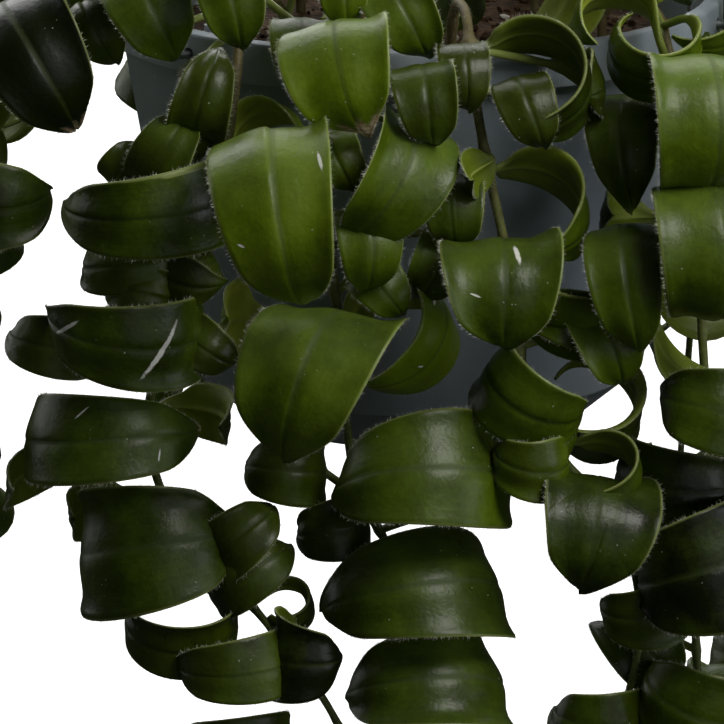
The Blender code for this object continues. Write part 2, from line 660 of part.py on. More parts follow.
def material(name, colour, roughness, metallic=0.0):
    made = bpy.data.materials.new(name)
    made.use_nodes = True
    shader = made.node_tree.nodes["Principled BSDF"]
    shader.inputs["Base Color"].default_value = (*colour, 1)
    shader.inputs["Roughness"].default_value = roughness
    shader.inputs["Metallic"].default_value = metallic
    return made


def keep_mesh(bm, name, finish):
    """Makes an object of a bmesh, with its faces pointing out."""
    bmesh.ops.recalc_face_normals(bm, faces=bm.faces[:])
    mesh = bpy.data.meshes.new(name)
    bm.to_mesh(mesh)
    bm.free()
    mesh.materials.append(finish)
    made = bpy.data.objects.new(name, mesh)
    bpy.context.scene.collection.objects.link(made)
    return made


def turned(profile, sides, name, finish):
    """A solid turned round Z from a profile of (radius, height) that starts and ends on the axis."""
    bm = bmesh.new()
    chain = [bm.verts.new((r, 0, z)) for r, z in profile]
    edges = [bm.edges.new(pair) for pair in zip(chain, chain[1:])]
    bmesh.ops.spin(bm, geom=chain + edges, axis=(0, 0, 1), cent=(0, 0, 0), dvec=(0, 0, 0),
                   angle=2 * math.pi, steps=sides, use_merge=True, use_duplicate=False)
    bmesh.ops.remove_doubles(bm, verts=bm.verts[:], dist=0.01 * MM)
    return keep_mesh(bm, name, finish)


def rod(start, end, radius, sides, name):
    """A hidden round cutter between two points."""
    bm = bmesh.new()
    way = end - start
    place = Matrix.Translation((start + end) / 2) @ way.to_track_quat("Z", "Y").to_matrix().to_4x4()
    bmesh.ops.create_cone(bm, cap_ends=True, segments=sides, radius1=radius, radius2=radius,
                          depth=way.length, matrix=place)
    made = keep_mesh(bm, name, CUTTER)
    made.hide_render = True
    made.display_type = "WIRE"
    return made


def cut(target, cutters):
    for cutter in cutters:
        modifier = target.modifiers.new(cutter.name, "BOOLEAN")
        modifier.operation = "DIFFERENCE"
        modifier.object = cutter


def pot_profile():
    """The pot's section as (radius, height), from the middle of its base up and back down inside."""
    inner = -WALL
    lip = 0.5 * MM
    return [
        (0, 0), (BASE_RADIUS, 0), (WALL_FOOT_RADIUS, FOOT_HEIGHT),
        (WALL_TOP_RADIUS, POT_HEIGHT - WALL), (RIM_RADIUS - WALL * 0.8, POT_HEIGHT - WALL),
        (RIM_RADIUS - WALL * 0.8, POT_HEIGHT - SKIRT_DEPTH), (RIM_RADIUS, POT_HEIGHT - SKIRT_DEPTH),
        (RIM_RADIUS, POT_HEIGHT - lip), (RIM_RADIUS - lip, POT_HEIGHT),
        (WALL_TOP_RADIUS + inner, POT_HEIGHT), (WALL_FOOT_RADIUS + inner, FOOT_HEIGHT + WALL * 0.3),
        (BASE_RADIUS + inner * 0.4, WALL), (0, WALL),
    ]


def make_pot():
    pot = turned(pot_profile(), POT_SIDES, "pot", SLATE_PLASTIC)
    cutters = []
    for k in range(DRAIN_HOLES):
        foot = side_point(k * 360 / DRAIN_HOLES + DRAIN_TURN, DRAIN_CIRCLE, -2 * WALL)
        cutters.append(rod(foot, foot + Vector((0, 0, 5 * WALL)), DRAIN_RADIUS, 8, f"drain_{k}"))
    level = POT_HEIGHT - WIRE_HOLE_DROP
    for k, turn in enumerate(WIRE_TURNS):
        cutters.append(rod(side_point(turn, WALL_TOP_RADIUS - 4 * MM, level),
                           side_point(turn, RIM_RADIUS + 3 * MM, level),
                           WIRE_RADIUS + 0.5 * MM, 8, f"wire_hole_{k}"))
    cut(pot, cutters)
    return pot


def make_potting_mix(stems):
    inside = -WALL - SOIL_ROOM
    rise = (SOIL_LEVEL - FOOT_HEIGHT) / (POT_HEIGHT - FOOT_HEIGHT)
    top = WALL_FOOT_RADIUS + (WALL_TOP_RADIUS - WALL_FOOT_RADIUS) * rise + inside
    profile = [(0, WALL + GAP), (BASE_RADIUS + inside, WALL + GAP),
               (WALL_FOOT_RADIUS + inside - 0.5 * MM, FOOT_HEIGHT + WALL), (top, SOIL_LEVEL)]
    profile += [(top * share, SOIL_LEVEL) for share in (0.82, 0.62, 0.42, 0.22)] + [(0, SOIL_LEVEL)]
    mix = turned(profile, SOIL_SIDES, "potting_mix", PEAT)
    for point in mix.data.vertices:
        if point.co.z > SOIL_LEVEL - 0.1 * MM and point.co.xy.length < top * 0.95:
            point.co.z += SOIL_BUMP * noise.noise(point.co * 60)
    cutters = [rod(stem.root - Vector((0, 0, GAP)), stem.root + Vector((0, 0, 2 * STEM_ROOT_DEPTH)),
                   STEM_RADIUS + 0.6 * MM, 6, "hole_" + stem.name) for stem in stems]
    cut(mix, cutters)
    return mix


def wire_object(name, points, radius, finish):
    """A round wire through the points, as a curve with a bevel and filled caps."""
    curve = bpy.data.curves.new(name, "CURVE")
    curve.dimensions = "3D"
    curve.bevel_depth = radius
    curve.bevel_resolution = 1
    curve.use_fill_caps = True
    spline = curve.splines.new("POLY")
    spline.points.add(len(points) - 1)
    for place, point in zip(spline.points, points):
        place.co = (*point, 1)
    curve.materials.append(finish)
    made = bpy.data.objects.new(name, curve)
    bpy.context.scene.collection.objects.link(made)
    return made


def make_hanger():
    for k, turn in enumerate(WIRE_TURNS):
        wire_object(f"hanger_wire_{k + 1}", wire_route(turn), WIRE_RADIUS, ZINC_STEEL)
    top = FERRULE_BASE + FERRULE_HEIGHT
    ferrule = turned([(0, FERRULE_BASE), (FERRULE_RADIUS - 0.6 * MM, FERRULE_BASE),
                      (FERRULE_RADIUS, FERRULE_BASE + 0.6 * MM), (FERRULE_RADIUS, top - 0.6 * MM),
                      (FERRULE_RADIUS - 0.6 * MM, top), (0, top)], 12, "hanger_ferrule", ZINC_STEEL)
    deep = SOCKET_DEPTH
    sockets = [rod(side_point(turn, WIRE_CIRCLE, FERRULE_BASE - deep),
                   side_point(turn, WIRE_CIRCLE, FERRULE_BASE + deep),
                   WIRE_RADIUS + 0.5 * MM, 6, f"socket_{k}") for k, turn in enumerate(WIRE_TURNS)]
    sockets.append(rod(Vector((0, 0, top - deep)), Vector((0, 0, top + deep)),
                       HOOK_RADIUS + 0.6 * MM, 8, "hook_socket"))
    cut(ferrule, sockets)
    middle = top + 30 * MM
    shank = [(0, top - deep + GAP), (0, top + 4 * MM), (1 * MM, top + 8 * MM),
             (5.5 * MM, top + 14.5 * MM), (11 * MM, top + 21 * MM)]
    bend = [(HOOK_BEND * math.cos(math.radians(a)), middle + HOOK_BEND * math.sin(math.radians(a)))
            for a in range(-5, 206, 21)]
    wire_object("hanger_hook", [(x, 0, z) for x, z in shank + bend], HOOK_RADIUS, ZINC_STEEL)


def split_outward(bm):
    """Splits each four-sided face along the diagonal that keeps the blade's two faces apart."""
    bm.normal_update()
    for face in bm.faces[:]:
        if len(face.verts) == 4:
            a, b, c, d = face.verts
            if ((a.co + c.co) - (b.co + d.co)).dot(face.normal) > 0:
                bmesh.utils.face_split(face, a, c)
            else:
                bmesh.utils.face_split(face, b, d)


def solid_of(points, faces, name, finish):
    bm = bmesh.new()
    corners = [bm.verts.new(p) for p in points]
    for face in faces:
        bm.faces.new([corners[i] for i in face])
    bmesh.ops.recalc_face_normals(bm, faces=bm.faces[:])
    split_outward(bm)
    return keep_mesh(bm, name, finish)


def drop_scraps(bm):
    """Leaves only the largest body of a union, where faces that share an edge make one body."""
    bodies, seen = [], set()
    for start in bm.faces:
        if start in seen:
            continue
        body, waiting = [], [start]
        seen.add(start)
        while waiting:
            face = waiting.pop()
            body.append(face)
            for edge in face.edges:
                for other in edge.link_faces:
                    if other not in seen:
                        seen.add(other)
                        waiting.append(other)
        bodies.append(body)
    bodies.sort(key=len)
    bmesh.ops.delete(bm, geom=[face for body in bodies[:-1] for face in body], context="FACES")


def tidy_union(mesh):
    """Joins crowded points and flat faces of a union as far as its skin stays closed, or says no."""
    for crowded, flat in ((0.02, 0.5), (0.005, 0.5), (0.02, 0), (0.002, 0), (0.0002, 0)):
        bm = bmesh.new()
        bm.from_mesh(mesh)
        bmesh.ops.remove_doubles(bm, verts=bm.verts[:], dist=crowded * MM)
        drop_scraps(bm)
        if flat:
            bmesh.ops.dissolve_limit(bm, angle_limit=math.radians(flat), verts=bm.verts[:],
                                     edges=bm.edges[:], use_dissolve_boundaries=False)
        bmesh.ops.triangulate(bm, faces=bm.faces[:])
        closed = all(edge.is_manifold for edge in bm.edges)
        if closed:
            bm.to_mesh(mesh)
        bm.free()
        if closed:
            return True
    return False


def make_leafy_stem(stem):
    """One stem with all its leaves, joined by one union."""
    rings = stem.rings(STEM_RADIUS)
    sides = STEM_SIDES
    faces = [tuple(range(sides)), tuple(sides * (len(rings) - 1) + i for i in range(sides))]
    for k in range(len(rings) - 1):
        for i in range(sides):
            j = (i + 1) % sides
            faces.append((sides * k + i, sides * k + j, sides * (k + 1) + j, sides * (k + 1) + i))
    tube = solid_of([p for ring in rings for p in ring], faces, stem.name, LEAF_GREEN)
    if not stem.leaves:
        return tube
    leaves = bpy.data.collections.new(stem.name + "_leaves")
    for k, leaf in enumerate(stem.leaves):
        sections, tip = leaf.sections()
        points = [p for section in sections for p in section] + [tip]
        made = solid_of(points, leaf_faces(sections), f"{stem.name}_leaf_{k}", LEAF_GREEN)
        bpy.context.scene.collection.objects.unlink(made)
        leaves.objects.link(made)
    union = tube.modifiers.new("leaves", "BOOLEAN")
    union.operation = "UNION"
    union.operand_type = "COLLECTION"
    union.collection = leaves
    for solver in ("EXACT", "MANIFOLD"):
        union.solver = solver
        graph = bpy.context.evaluated_depsgraph_get()
        joined = bpy.data.meshes.new_from_object(tube.evaluated_get(graph))
        if tidy_union(joined):
            break
    else:
        raise RuntimeError("the union of " + stem.name + " is not closed")
    tube.modifiers.clear()
    tube.data = joined
    for made in list(leaves.objects):
        bpy.data.objects.remove(made)
    bpy.data.collections.remove(leaves)
    return tube


for old in list(bpy.data.objects):
    bpy.data.objects.remove(old)

SLATE_PLASTIC = material("slate_plastic", (0.075, 0.085, 0.09), 0.5)
PEAT = material("peat", (0.03, 0.02, 0.013), 0.95)
ZINC_STEEL = material("zinc_plated_steel", (0.5, 0.51, 0.52), 0.35, 1.0)
LEAF_GREEN = material("waxy_leaf", (0.035, 0.06, 0.012), 0.4)
CUTTER = material("cutter", (0.5, 0.5, 0.5), 0.5)

layout = lay_out()
make_pot()
make_potting_mix(layout.stems)
make_hanger()
for grown in layout.stems:
    make_leafy_stem(grown)
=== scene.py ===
"""Looks of the hanging pot with its curly-leaved lipstick plant.

Metres, +Z up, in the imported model's frame: the origin is the middle of the pot's base, -Y is the front.
"""

import math
import random

import bmesh
import bpy
import numpy as np
from mathutils import Matrix, Vector, noise
from mathutils.bvhtree import BVHTree


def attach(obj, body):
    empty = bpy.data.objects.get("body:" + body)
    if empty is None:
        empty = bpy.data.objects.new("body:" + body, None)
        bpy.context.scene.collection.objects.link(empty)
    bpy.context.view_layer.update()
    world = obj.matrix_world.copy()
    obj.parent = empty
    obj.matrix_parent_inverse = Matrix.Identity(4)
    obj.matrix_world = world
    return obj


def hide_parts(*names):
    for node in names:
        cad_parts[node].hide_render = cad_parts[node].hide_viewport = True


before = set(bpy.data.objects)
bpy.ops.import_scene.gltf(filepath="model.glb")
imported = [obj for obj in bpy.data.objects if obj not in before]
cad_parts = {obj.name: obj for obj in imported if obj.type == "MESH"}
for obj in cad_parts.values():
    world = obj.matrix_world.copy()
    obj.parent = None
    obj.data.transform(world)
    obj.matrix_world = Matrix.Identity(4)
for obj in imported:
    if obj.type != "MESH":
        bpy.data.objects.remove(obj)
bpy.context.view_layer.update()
scene = bpy.context.scene
MM = 0.001

# Camera: in front of the pot and a little above, close on the middle of the plant
PICTURE_TILT = math.radians(16)
PICTURE_AIM = Vector((-12.75 * MM, 0, 9.6 * MM))
PICTURE_DISTANCE = 1.2
PICTURE_PIXELS = 724
PICTURE_WIDTH = 181 * MM
SENSOR = 36
PICTURE_RIGHT = Vector((1, 0, 0))
PICTURE_UP = Vector((0, math.sin(PICTURE_TILT), math.cos(PICTURE_TILT)))
TO_VIEWER = Vector((0, -math.cos(PICTURE_TILT), math.sin(PICTURE_TILT)))

camera = bpy.data.objects.new("camera", bpy.data.cameras.new("camera"))
scene.collection.objects.link(camera)
camera.location = PICTURE_AIM + TO_VIEWER * PICTURE_DISTANCE
camera.rotation_euler = (math.pi / 2 - PICTURE_TILT, 0, 0)
camera.data.sensor_width = SENSOR
camera.data.lens = SENSOR * PICTURE_DISTANCE / PICTURE_WIDTH
camera.data.clip_end = 60
scene.camera = camera

# Studio: a white room whose floor is well under the hanging plant, a broad soft key light from the upper
# right and weak fills from the other sides. Seen from outside or below, the room is clear.
FLOOR_LEVEL = -0.42
ROOM_REACH = 14
scene.view_settings.view_transform = "Standard"


def linear(colour):
    """A linear colour from an sRGB hex value, or a grey from a level that is linear already."""
    if not isinstance(colour, str):
        return (colour, colour, colour, 1)
    parts = [int(colour[i:i + 2], 16) / 255 for i in (1, 3, 5)]
    return tuple(c / 12.92 if c <= 0.04045 else ((c + 0.055) / 1.055) ** 2.4 for c in parts) + (1,)


def fill(tree, node, sockets):
    """Sets a node's sockets: a link if the value is an output, a colour if it is a hex value."""
    for name, value in sockets.items():
        if isinstance(value, bpy.types.NodeSocket):
            tree.links.new(value, node.inputs[name])
        else:
            node.inputs[name].default_value = linear(value) if isinstance(value, str) else value


def add(tree, kind, sockets, out=0, stops=(), **settings):
    """Adds a shader node and returns one output. Stops are a ramp's places and colours or greys."""
    made = tree.nodes.new("ShaderNode" + kind)
    for name, value in settings.items():
        setattr(made, name, value)
    for k, (position, colour) in enumerate(stops):
        stop = made.color_ramp.elements[k] if k < 2 else made.color_ramp.elements.new(position)
        stop.position = position
        stop.color = linear(colour)
    fill(tree, made, sockets)
    return made.outputs[out]


def new_material(name):
    """A material with its node tree, its Principled shader and Object coordinates."""
    made = bpy.data.materials.new(name)
    made.use_nodes = True
    tree = made.node_tree
    return made, tree, tree.nodes["Principled BSDF"], add(tree, "TexCoord", {}, "Object")


room = bmesh.new()
bmesh.ops.create_cone(room, cap_ends=True, segments=48, radius1=ROOM_REACH, radius2=ROOM_REACH,
                      depth=ROOM_REACH, matrix=Matrix.Translation((0, 0, FLOOR_LEVEL + ROOM_REACH / 2)))
bmesh.ops.reverse_faces(room, faces=room.faces)
room_data = bpy.data.meshes.new("floor")
room.to_mesh(room_data)
room.free()
floor = bpy.data.objects.new("floor", room_data)
scene.collection.objects.link(floor)
floor.visible_diffuse = False
floor.visible_glossy = False
floor.visible_shadow = False
white_room, tree, shader, place = new_material("white_studio_room")
outside = add(tree, "NewGeometry", {}, "Backfacing")
fill(tree, shader, {"Base Color": "#f4f4f2", "Roughness": 0.9, "Emission Color": "#ffffff",
                    "Emission Strength": 1,
                    "Alpha": add(tree, "Math", {0: 1, 1: outside}, operation="SUBTRACT")})
room_data.materials.append(white_room)


def lamp(name, kind, colour, place, **settings):
    """A light at a place, pointing at the middle of the plant."""
    made = bpy.data.objects.new(name, bpy.data.lights.new(name, kind))
    made.data.color = linear(colour)[:3]
    for setting, value in settings.items():
        setattr(made.data, setting, value)
    made.location = place
    made.rotation_euler = (Vector(place) - PICTURE_AIM).to_track_quat("Z", "Y").to_euler()
    scene.collection.objects.link(made)


WIDE = math.radians(60)
lamp("key_light", "AREA", "#fffdf8", (0.27, -0.32, 0.44), energy=1.42, size=0.26)
lamp("front_fill", "SUN", "#f6f8ff", (0.6, -1, 0.3), energy=0.25, angle=WIDE, specular_factor=0)
lamp("right_fill", "SUN", "#f4f8ff", (1, -0.3, 0.1), energy=0.32, angle=WIDE / 2, specular_factor=0.3)
lamp("back_fill", "SUN", "#ffffff", (-0.1, 1, 0.8), energy=1.9, angle=WIDE, specular_factor=0.4)
lamp("left_fill", "SUN", "#ffffff", (-1, 0.75, 0.45), energy=0.7, angle=WIDE, specular_factor=0.4)
surround = bpy.data.worlds.new("even_surround")
surround.use_nodes = True
fill(surround.node_tree, surround.node_tree.nodes["Background"], {"Color": "#f6f8fa", "Strength": 0.02})
scene.world = surround

# Pot: an injection-moulded slate-grey hanging pot, tapered, with a rim folded down into a skirt, a
# chamfered foot, six drainage holes and three holes for the hanger's wires. It is of grey polypropylene
# with a fine moulded grain.
RIM_RADIUS = 75.5 * MM
POT_HEIGHT = 105 * MM
SKIRT_DEPTH = 10 * MM
WALL_TOP_RADIUS = 73 * MM
WALL_FOOT_RADIUS = 57.5 * MM
FOOT_HEIGHT = 12.5 * MM
BASE_RADIUS = 43 * MM
WALL = 1.6 * MM
LIP_EDGE = 0.5 * MM
MOULD_EDGE = 0.45 * MM
CAD_POT_SIDES = 30
POT_SIDES = 120
DRAIN_HOLES = 6
DRAIN_RADIUS = 4 * MM
DRAIN_CIRCLE = 31 * MM
DRAIN_TURN = 37
DRAIN_SIDES = 32
# Places closer than this are at one level. Sharper edges than these are rounded on the pot, and shaded
# hard on turned pieces and on cut ones.
SAME = 1e-6
POT_CRISP = math.radians(25)
HARD_EDGE = math.radians(50)
HARD_CUT = math.radians(40)
WIRE_RADIUS = 1 * MM
WIRE_TURNS = (-45, 75, 195)
WIRE_HOLE_DROP = 5 * MM
WIRE_HOLE_RADIUS = WIRE_RADIUS + 0.5 * MM
WIRE_HOLE_SIDES = 20
# The finish: broad mottling, the scuffs' width, how far they are drawn out upwards, the patches that hold
# them, and the spacing of specks. The real grain is finer, and is drawn as coarse as it needs to show.
MOTTLE_SIZE = 45.5 * MM
SCUFF_WIDTH = 1.43 * MM
SCUFF_STRETCH = 28.6
SCUFF_PATCH = 16.7 * MM
SPECK_SPACING = 2.38 * MM
GRAIN_SIZE = 0.385 * MM


def link_mesh(name, mesh, *finishes):
    """Links a piece of the object, which rides on its one body."""
    piece = bpy.data.objects.new(name, mesh)
    for finish in finishes:
        mesh.materials.append(finish)
    scene.collection.objects.link(piece)
    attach(piece, "root")
    return piece


def side_point(turn, reach, height):
    """A point at a turn from the front, a distance from the pot's axis and a height (metres)."""
    angle = math.radians(turn)
    return Vector((math.sin(angle) * reach, -math.cos(angle) * reach, height))


def pot_profile():
    """The pot's section as (radius, height), from the middle of its base up and back down inside."""
    skirt_inside, skirt_foot = RIM_RADIUS - WALL * 0.8, POT_HEIGHT - SKIRT_DEPTH
    return [
        (0, 0), (BASE_RADIUS, 0), (WALL_FOOT_RADIUS, FOOT_HEIGHT),
        (WALL_TOP_RADIUS, POT_HEIGHT - WALL), (skirt_inside, POT_HEIGHT - WALL),
        (skirt_inside, skirt_foot), (RIM_RADIUS, skirt_foot), (RIM_RADIUS, POT_HEIGHT - LIP_EDGE),
        (RIM_RADIUS - LIP_EDGE, POT_HEIGHT), (WALL_TOP_RADIUS - WALL, POT_HEIGHT),
        (WALL_FOOT_RADIUS - WALL, FOOT_HEIGHT + WALL * 0.3), (BASE_RADIUS - WALL * 0.4, WALL), (0, WALL),
    ]


def turned(profile, sides, crisp, soft_edge):
    """A mesh turned round Z from (radius, height) points, with the edges of its rings rounded."""
    bm = bmesh.new()
    chain = [bm.verts.new((r, 0, z)) for r, z in profile]
    edges = [bm.edges.new(pair) for pair in zip(chain, chain[1:])]
    bmesh.ops.spin(bm, geom=chain + edges, axis=(0, 0, 1), cent=(0, 0, 0), dvec=(0, 0, 0),
                   angle=2 * math.pi, steps=sides, use_merge=True, use_duplicate=False)
    bmesh.ops.remove_doubles(bm, verts=bm.verts[:], dist=0.01 * MM)
    bmesh.ops.recalc_face_normals(bm, faces=bm.faces[:])
    rings = []
    for edge in bm.edges:
        a, b = (vert.co for vert in edge.verts)
        level = abs(a.z - b.z) < SAME and abs(a.xy.length - b.xy.length) < SAME
        if level and edge.calc_face_angle(0) > crisp:
            rings.append(edge)
    bmesh.ops.bevel(bm, geom=rings, offset=soft_edge, segments=3, profile=0.5, affect="EDGES",
                    material=-1)
    mesh = bpy.data.meshes.new("turned")
    bm.to_mesh(mesh)
    bm.free()
    mesh.shade_smooth()
    mesh.set_sharp_from_angle(angle=HARD_EDGE)
    return mesh


def rod(start, end, radius, sides):
    """A round cutter between two points, for one use."""
    bm = bmesh.new()
    way = end - start
    turn = way.to_track_quat("Z", "Y").to_matrix().to_4x4()
    bmesh.ops.create_cone(bm, cap_ends=True, segments=sides, radius1=radius, radius2=radius,
                          depth=way.length, matrix=Matrix.Translation((start + end) / 2) @ turn)
    mesh = bpy.data.meshes.new("rod")
    bm.to_mesh(mesh)
    bm.free()
    cutter = bpy.data.objects.new("rod", mesh)
    scene.collection.objects.link(cutter)
    return cutter


def cut(piece, cutters):
    """Cuts holes in a piece, and removes the cutters."""
    for cutter in cutters:
        modifier = piece.modifiers.new("hole", "BOOLEAN")
        modifier.operation = "DIFFERENCE"
        modifier.object = cutter
    graph = bpy.context.evaluated_depsgraph_get()
    mesh = bpy.data.meshes.new_from_object(piece.evaluated_get(graph))
    piece.modifiers.clear()
    piece.data = mesh
    for cutter in cutters:
        bpy.data.objects.remove(cutter)
    mesh.shade_smooth()
    mesh.set_sharp_from_angle(angle=HARD_CUT)


# Moulded polypropylene is satin, and handling leaves pale upright scuffs and lime specks on it
moulded, tree, shader, place = new_material("slate_grey_polypropylene")
mottle = add(tree, "TexNoise", {"Vector": place, "Scale": 1 / MOTTLE_SIZE, "Detail": 6, "Roughness": 0.6})
upright = add(tree, "Mapping", {"Vector": place, "Scale": (1, 1, 1 / SCUFF_STRETCH)})
scuffs = add(tree, "TexNoise", {"Vector": upright, "Scale": 1 / SCUFF_WIDTH, "Detail": 5, "Roughness": 0.7})
patches = add(tree, "TexNoise", {"Vector": place, "Scale": 1 / SCUFF_PATCH, "Detail": 3, "Roughness": 0.5})
specks = add(tree, "TexVoronoi", {"Vector": place, "Scale": 1 / SPECK_SPACING, "Randomness": 1})
grain = add(tree, "TexNoise", {"Vector": place, "Scale": 1 / GRAIN_SIZE, "Detail": 2})
body = add(tree, "ValToRGB", {"Fac": mottle}, stops=((0.3, "#8b969f"), (0.7, "#a3aeb8")))
scuffed = add(tree, "Math", {
    0: add(tree, "ValToRGB", {"Fac": scuffs}, stops=((0.58, 0), (0.72, 1))),
    1: add(tree, "ValToRGB", {"Fac": patches}, stops=((0.5, 0), (0.66, 0.8)))}, operation="MULTIPLY")
dusty = add(tree, "Math", {
    0: add(tree, "ValToRGB", {"Fac": specks}, stops=((0.1, 1), (0.17, 0))),
    1: add(tree, "ValToRGB", {"Fac": specks.node.outputs["Color"]}, stops=((0.86, 0), (0.9, 0.75))),
}, operation="MULTIPLY")
for share, colour in ((scuffed, "#bfc7ca"), (dusty, "#dcddd6")):
    body = add(tree, "Mix", {0: share, 6: body, 7: colour}, 2, data_type="RGBA")
relief = add(tree, "Math", {0: scuffed, 1: -0.4, 2: grain}, operation="MULTIPLY_ADD")
fill(tree, shader, {
    "Base Color": body,
    "Roughness": add(tree, "ValToRGB", {"Fac": mottle}, stops=((0.3, 0.42), (0.75, 0.58))),
    "Normal": add(tree, "Bump", {"Height": relief, "Strength": 0.25, "Distance": 0.2 * MM})})

pot = link_mesh("pot_shell", turned(pot_profile(), POT_SIDES, POT_CRISP, MOULD_EDGE), moulded)
holes = []
for k in range(DRAIN_HOLES):
    foot = side_point(k * 360 / DRAIN_HOLES + DRAIN_TURN, DRAIN_CIRCLE, -2 * WALL)
    holes.append(rod(foot, foot + Vector((0, 0, 5 * WALL)), DRAIN_RADIUS, DRAIN_SIDES))
for turn in WIRE_TURNS:
    level = POT_HEIGHT - WIRE_HOLE_DROP
    holes.append(rod(side_point(turn, WALL_TOP_RADIUS - 4 * MM, level),
                     side_point(turn, RIM_RADIUS + 3 * MM, level), WIRE_HOLE_RADIUS, WIRE_HOLE_SIDES))
cut(pot, holes)
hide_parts("pot")

# Potting mix: damp dark peat with bark crumbs and a few white perlite grains, filled to a little below
# the rim. Its top is lumpy, and loose crumbs lie on it.
SOIL_LEVEL = 92 * MM
SOIL_BUMP = 2.2 * MM
SOIL_ROOM = 0.8 * MM
SOIL_RINGS = 26
CRUMBS = 420
PERLITE_SHARE = 0.12
CRUMB_SIZES = (0.5 * MM, 1.7 * MM)
# The finish: clods of peat, bits of bark and the pores of perlite, drawn coarser than real to show
CLOD_SIZE = 3.33 * MM
BARK_BIT_SIZE = 1.92 * MM
PORE_SIZE = 0.556 * MM


def soil_radius(height):
    """The soil's radius inside the pot's wall at a height."""
    rise = (height - FOOT_HEIGHT) / (POT_HEIGHT - FOOT_HEIGHT)
    return WALL_FOOT_RADIUS + (WALL_TOP_RADIUS - WALL_FOOT_RADIUS) * rise - WALL - SOIL_ROOM


def soil_top(x, y):
    """The height of the soil's lumpy top at a place."""
    coarse = noise.noise(Vector((x, y, 0)) * 60)
    fine = noise.noise(Vector((x, y, 0.01)) * 260)
    edge = max(0, math.hypot(x, y) / soil_radius(SOIL_LEVEL) - 0.9) * 10
    return SOIL_LEVEL + SOIL_BUMP * (0.6 * coarse + 0.35 * fine) * (1 - edge)


top_radius = soil_radius(SOIL_LEVEL)
profile = [(0, WALL + SOIL_ROOM), (BASE_RADIUS - WALL - SOIL_ROOM, WALL + SOIL_ROOM),
           (WALL_FOOT_RADIUS - WALL - SOIL_ROOM - 0.5 * MM, FOOT_HEIGHT + WALL)]
profile += [(top_radius * k / SOIL_RINGS, SOIL_LEVEL) for k in range(SOIL_RINGS, -1, -1)]
soil_mesh = turned(profile, 96, math.radians(170), 0.1 * MM)
for point in soil_mesh.vertices:
    if point.co.z > SOIL_LEVEL - 0.1 * MM:
        point.co.z = soil_top(point.co.x, point.co.y)

# Peat is nearly matt and uneven in tone, with paler bits of bark
peat, tree, shader, place = new_material("damp_peat")
clods = add(tree, "TexNoise", {"Vector": place, "Scale": 1 / CLOD_SIZE, "Detail": 8, "Roughness": 0.7})
bits = add(tree, "TexVoronoi", {"Vector": place, "Scale": 1 / BARK_BIT_SIZE, "Randomness": 1})
body = add(tree, "ValToRGB", {"Fac": clods}, stops=((0.32, "#2c1e14"), (0.55, "#5a4028"), (0.72, "#8a6c4a")))
bark = add(tree, "ValToRGB", {"Fac": bits.node.outputs["Color"]}, stops=((0.9, 0), (0.93, 0.7)))
relief = add(tree, "Math", {0: bits, 1: -0.8, 2: clods}, operation="MULTIPLY_ADD")
fill(tree, shader, {
    "Base Color": add(tree, "Mix", {0: bark, 6: body, 7: "#b8a27c"}, 2, data_type="RGBA"),
    "Roughness": 0.92,
    "Normal": add(tree, "Bump", {"Height": relief, "Strength": 0.9, "Distance": 0.8 * MM})})
# Perlite is chalky white, with pores that dull it
perlite, tree, shader, place = new_material("expanded_perlite")
pores = add(tree, "TexNoise", {"Vector": place, "Scale": 1 / PORE_SIZE, "Detail": 4})
fill(tree, shader, {
    "Base Color": add(tree, "ValToRGB", {"Fac": pores}, stops=((0.3, "#b7b3a6"), (0.6, "#e6e3da"))),
    "Roughness": 0.85})

soil = link_mesh("potting_mix_body", soil_mesh, peat)
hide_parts("potting_mix")


def crumb_mesh(count, seed):
    """Loose crumbs, each a rough little stone shape, spread over the soil's top."""
    draw = random.Random(seed)
    bm = bmesh.new()
    bmesh.ops.create_icosphere(bm, subdivisions=1, radius=1)
    shape = [v.co.copy() for v in bm.verts]
    faces = [[v.index for v in f.verts] for f in bm.faces]
    bm.free()
    points, sides = [], []
    for _ in range(count):
        reach, turn = top_radius * 0.95 * math.sqrt(draw.random()), draw.uniform(0, 360)
        size = draw.uniform(*CRUMB_SIZES)
        centre = side_point(turn, reach, 0)
        centre.z = soil_top(centre.x, centre.y) + size * 0.3
        spin = Matrix.Rotation(draw.uniform(0, 6.28), 3, Vector((draw.random(), draw.random(), 1)))
        stretch = Vector((draw.uniform(0.7, 1.5), draw.uniform(0.6, 1), draw.uniform(0.4, 0.8)))
        sides += [[len(points) + i for i in face] for face in faces]
        points += [centre + spin @ (corner * stretch * size * draw.uniform(0.8, 1.2)) for corner in shape]
    mesh = bpy.data.meshes.new("crumbs")
    mesh.from_pydata(points, [], sides)
    return mesh


for name, finish, count, seed in (("bark_crumbs", peat, int(CRUMBS * (1 - PERLITE_SHARE)), 3),
                                  ("perlite_grains", perlite, int(CRUMBS * PERLITE_SHARE), 4)):
    crumbs = link_mesh(name, crumb_mesh(count, seed), finish)

# Hanger: three galvanised wires hooked through holes in the rim, crimped together in a steel ferrule
# that also holds the hook. Drawn zinc-plated wire, semi-bright, slightly dulled.
FERRULE_BASE = 330 * MM
FERRULE_HEIGHT = 18 * MM
FERRULE_RADIUS = 5.5 * MM
SOCKET_DEPTH = 8 * MM
WIRE_CIRCLE = 3 * MM
HOOK_RADIUS = 1.5 * MM
HOOK_BEND = 13 * MM
CRIMP_DEPTH = 0.35 * MM
SOCKET_ROOM = 0.3 * MM
BEND_STEPS = 12
# The finish: the crystals of the zinc, and the lines left by drawing the wire, coarser than real to show
SPANGLE_SIZE = 2 * MM
DRAWN_LINE = 0.455 * MM
LINE_STRETCH = 50


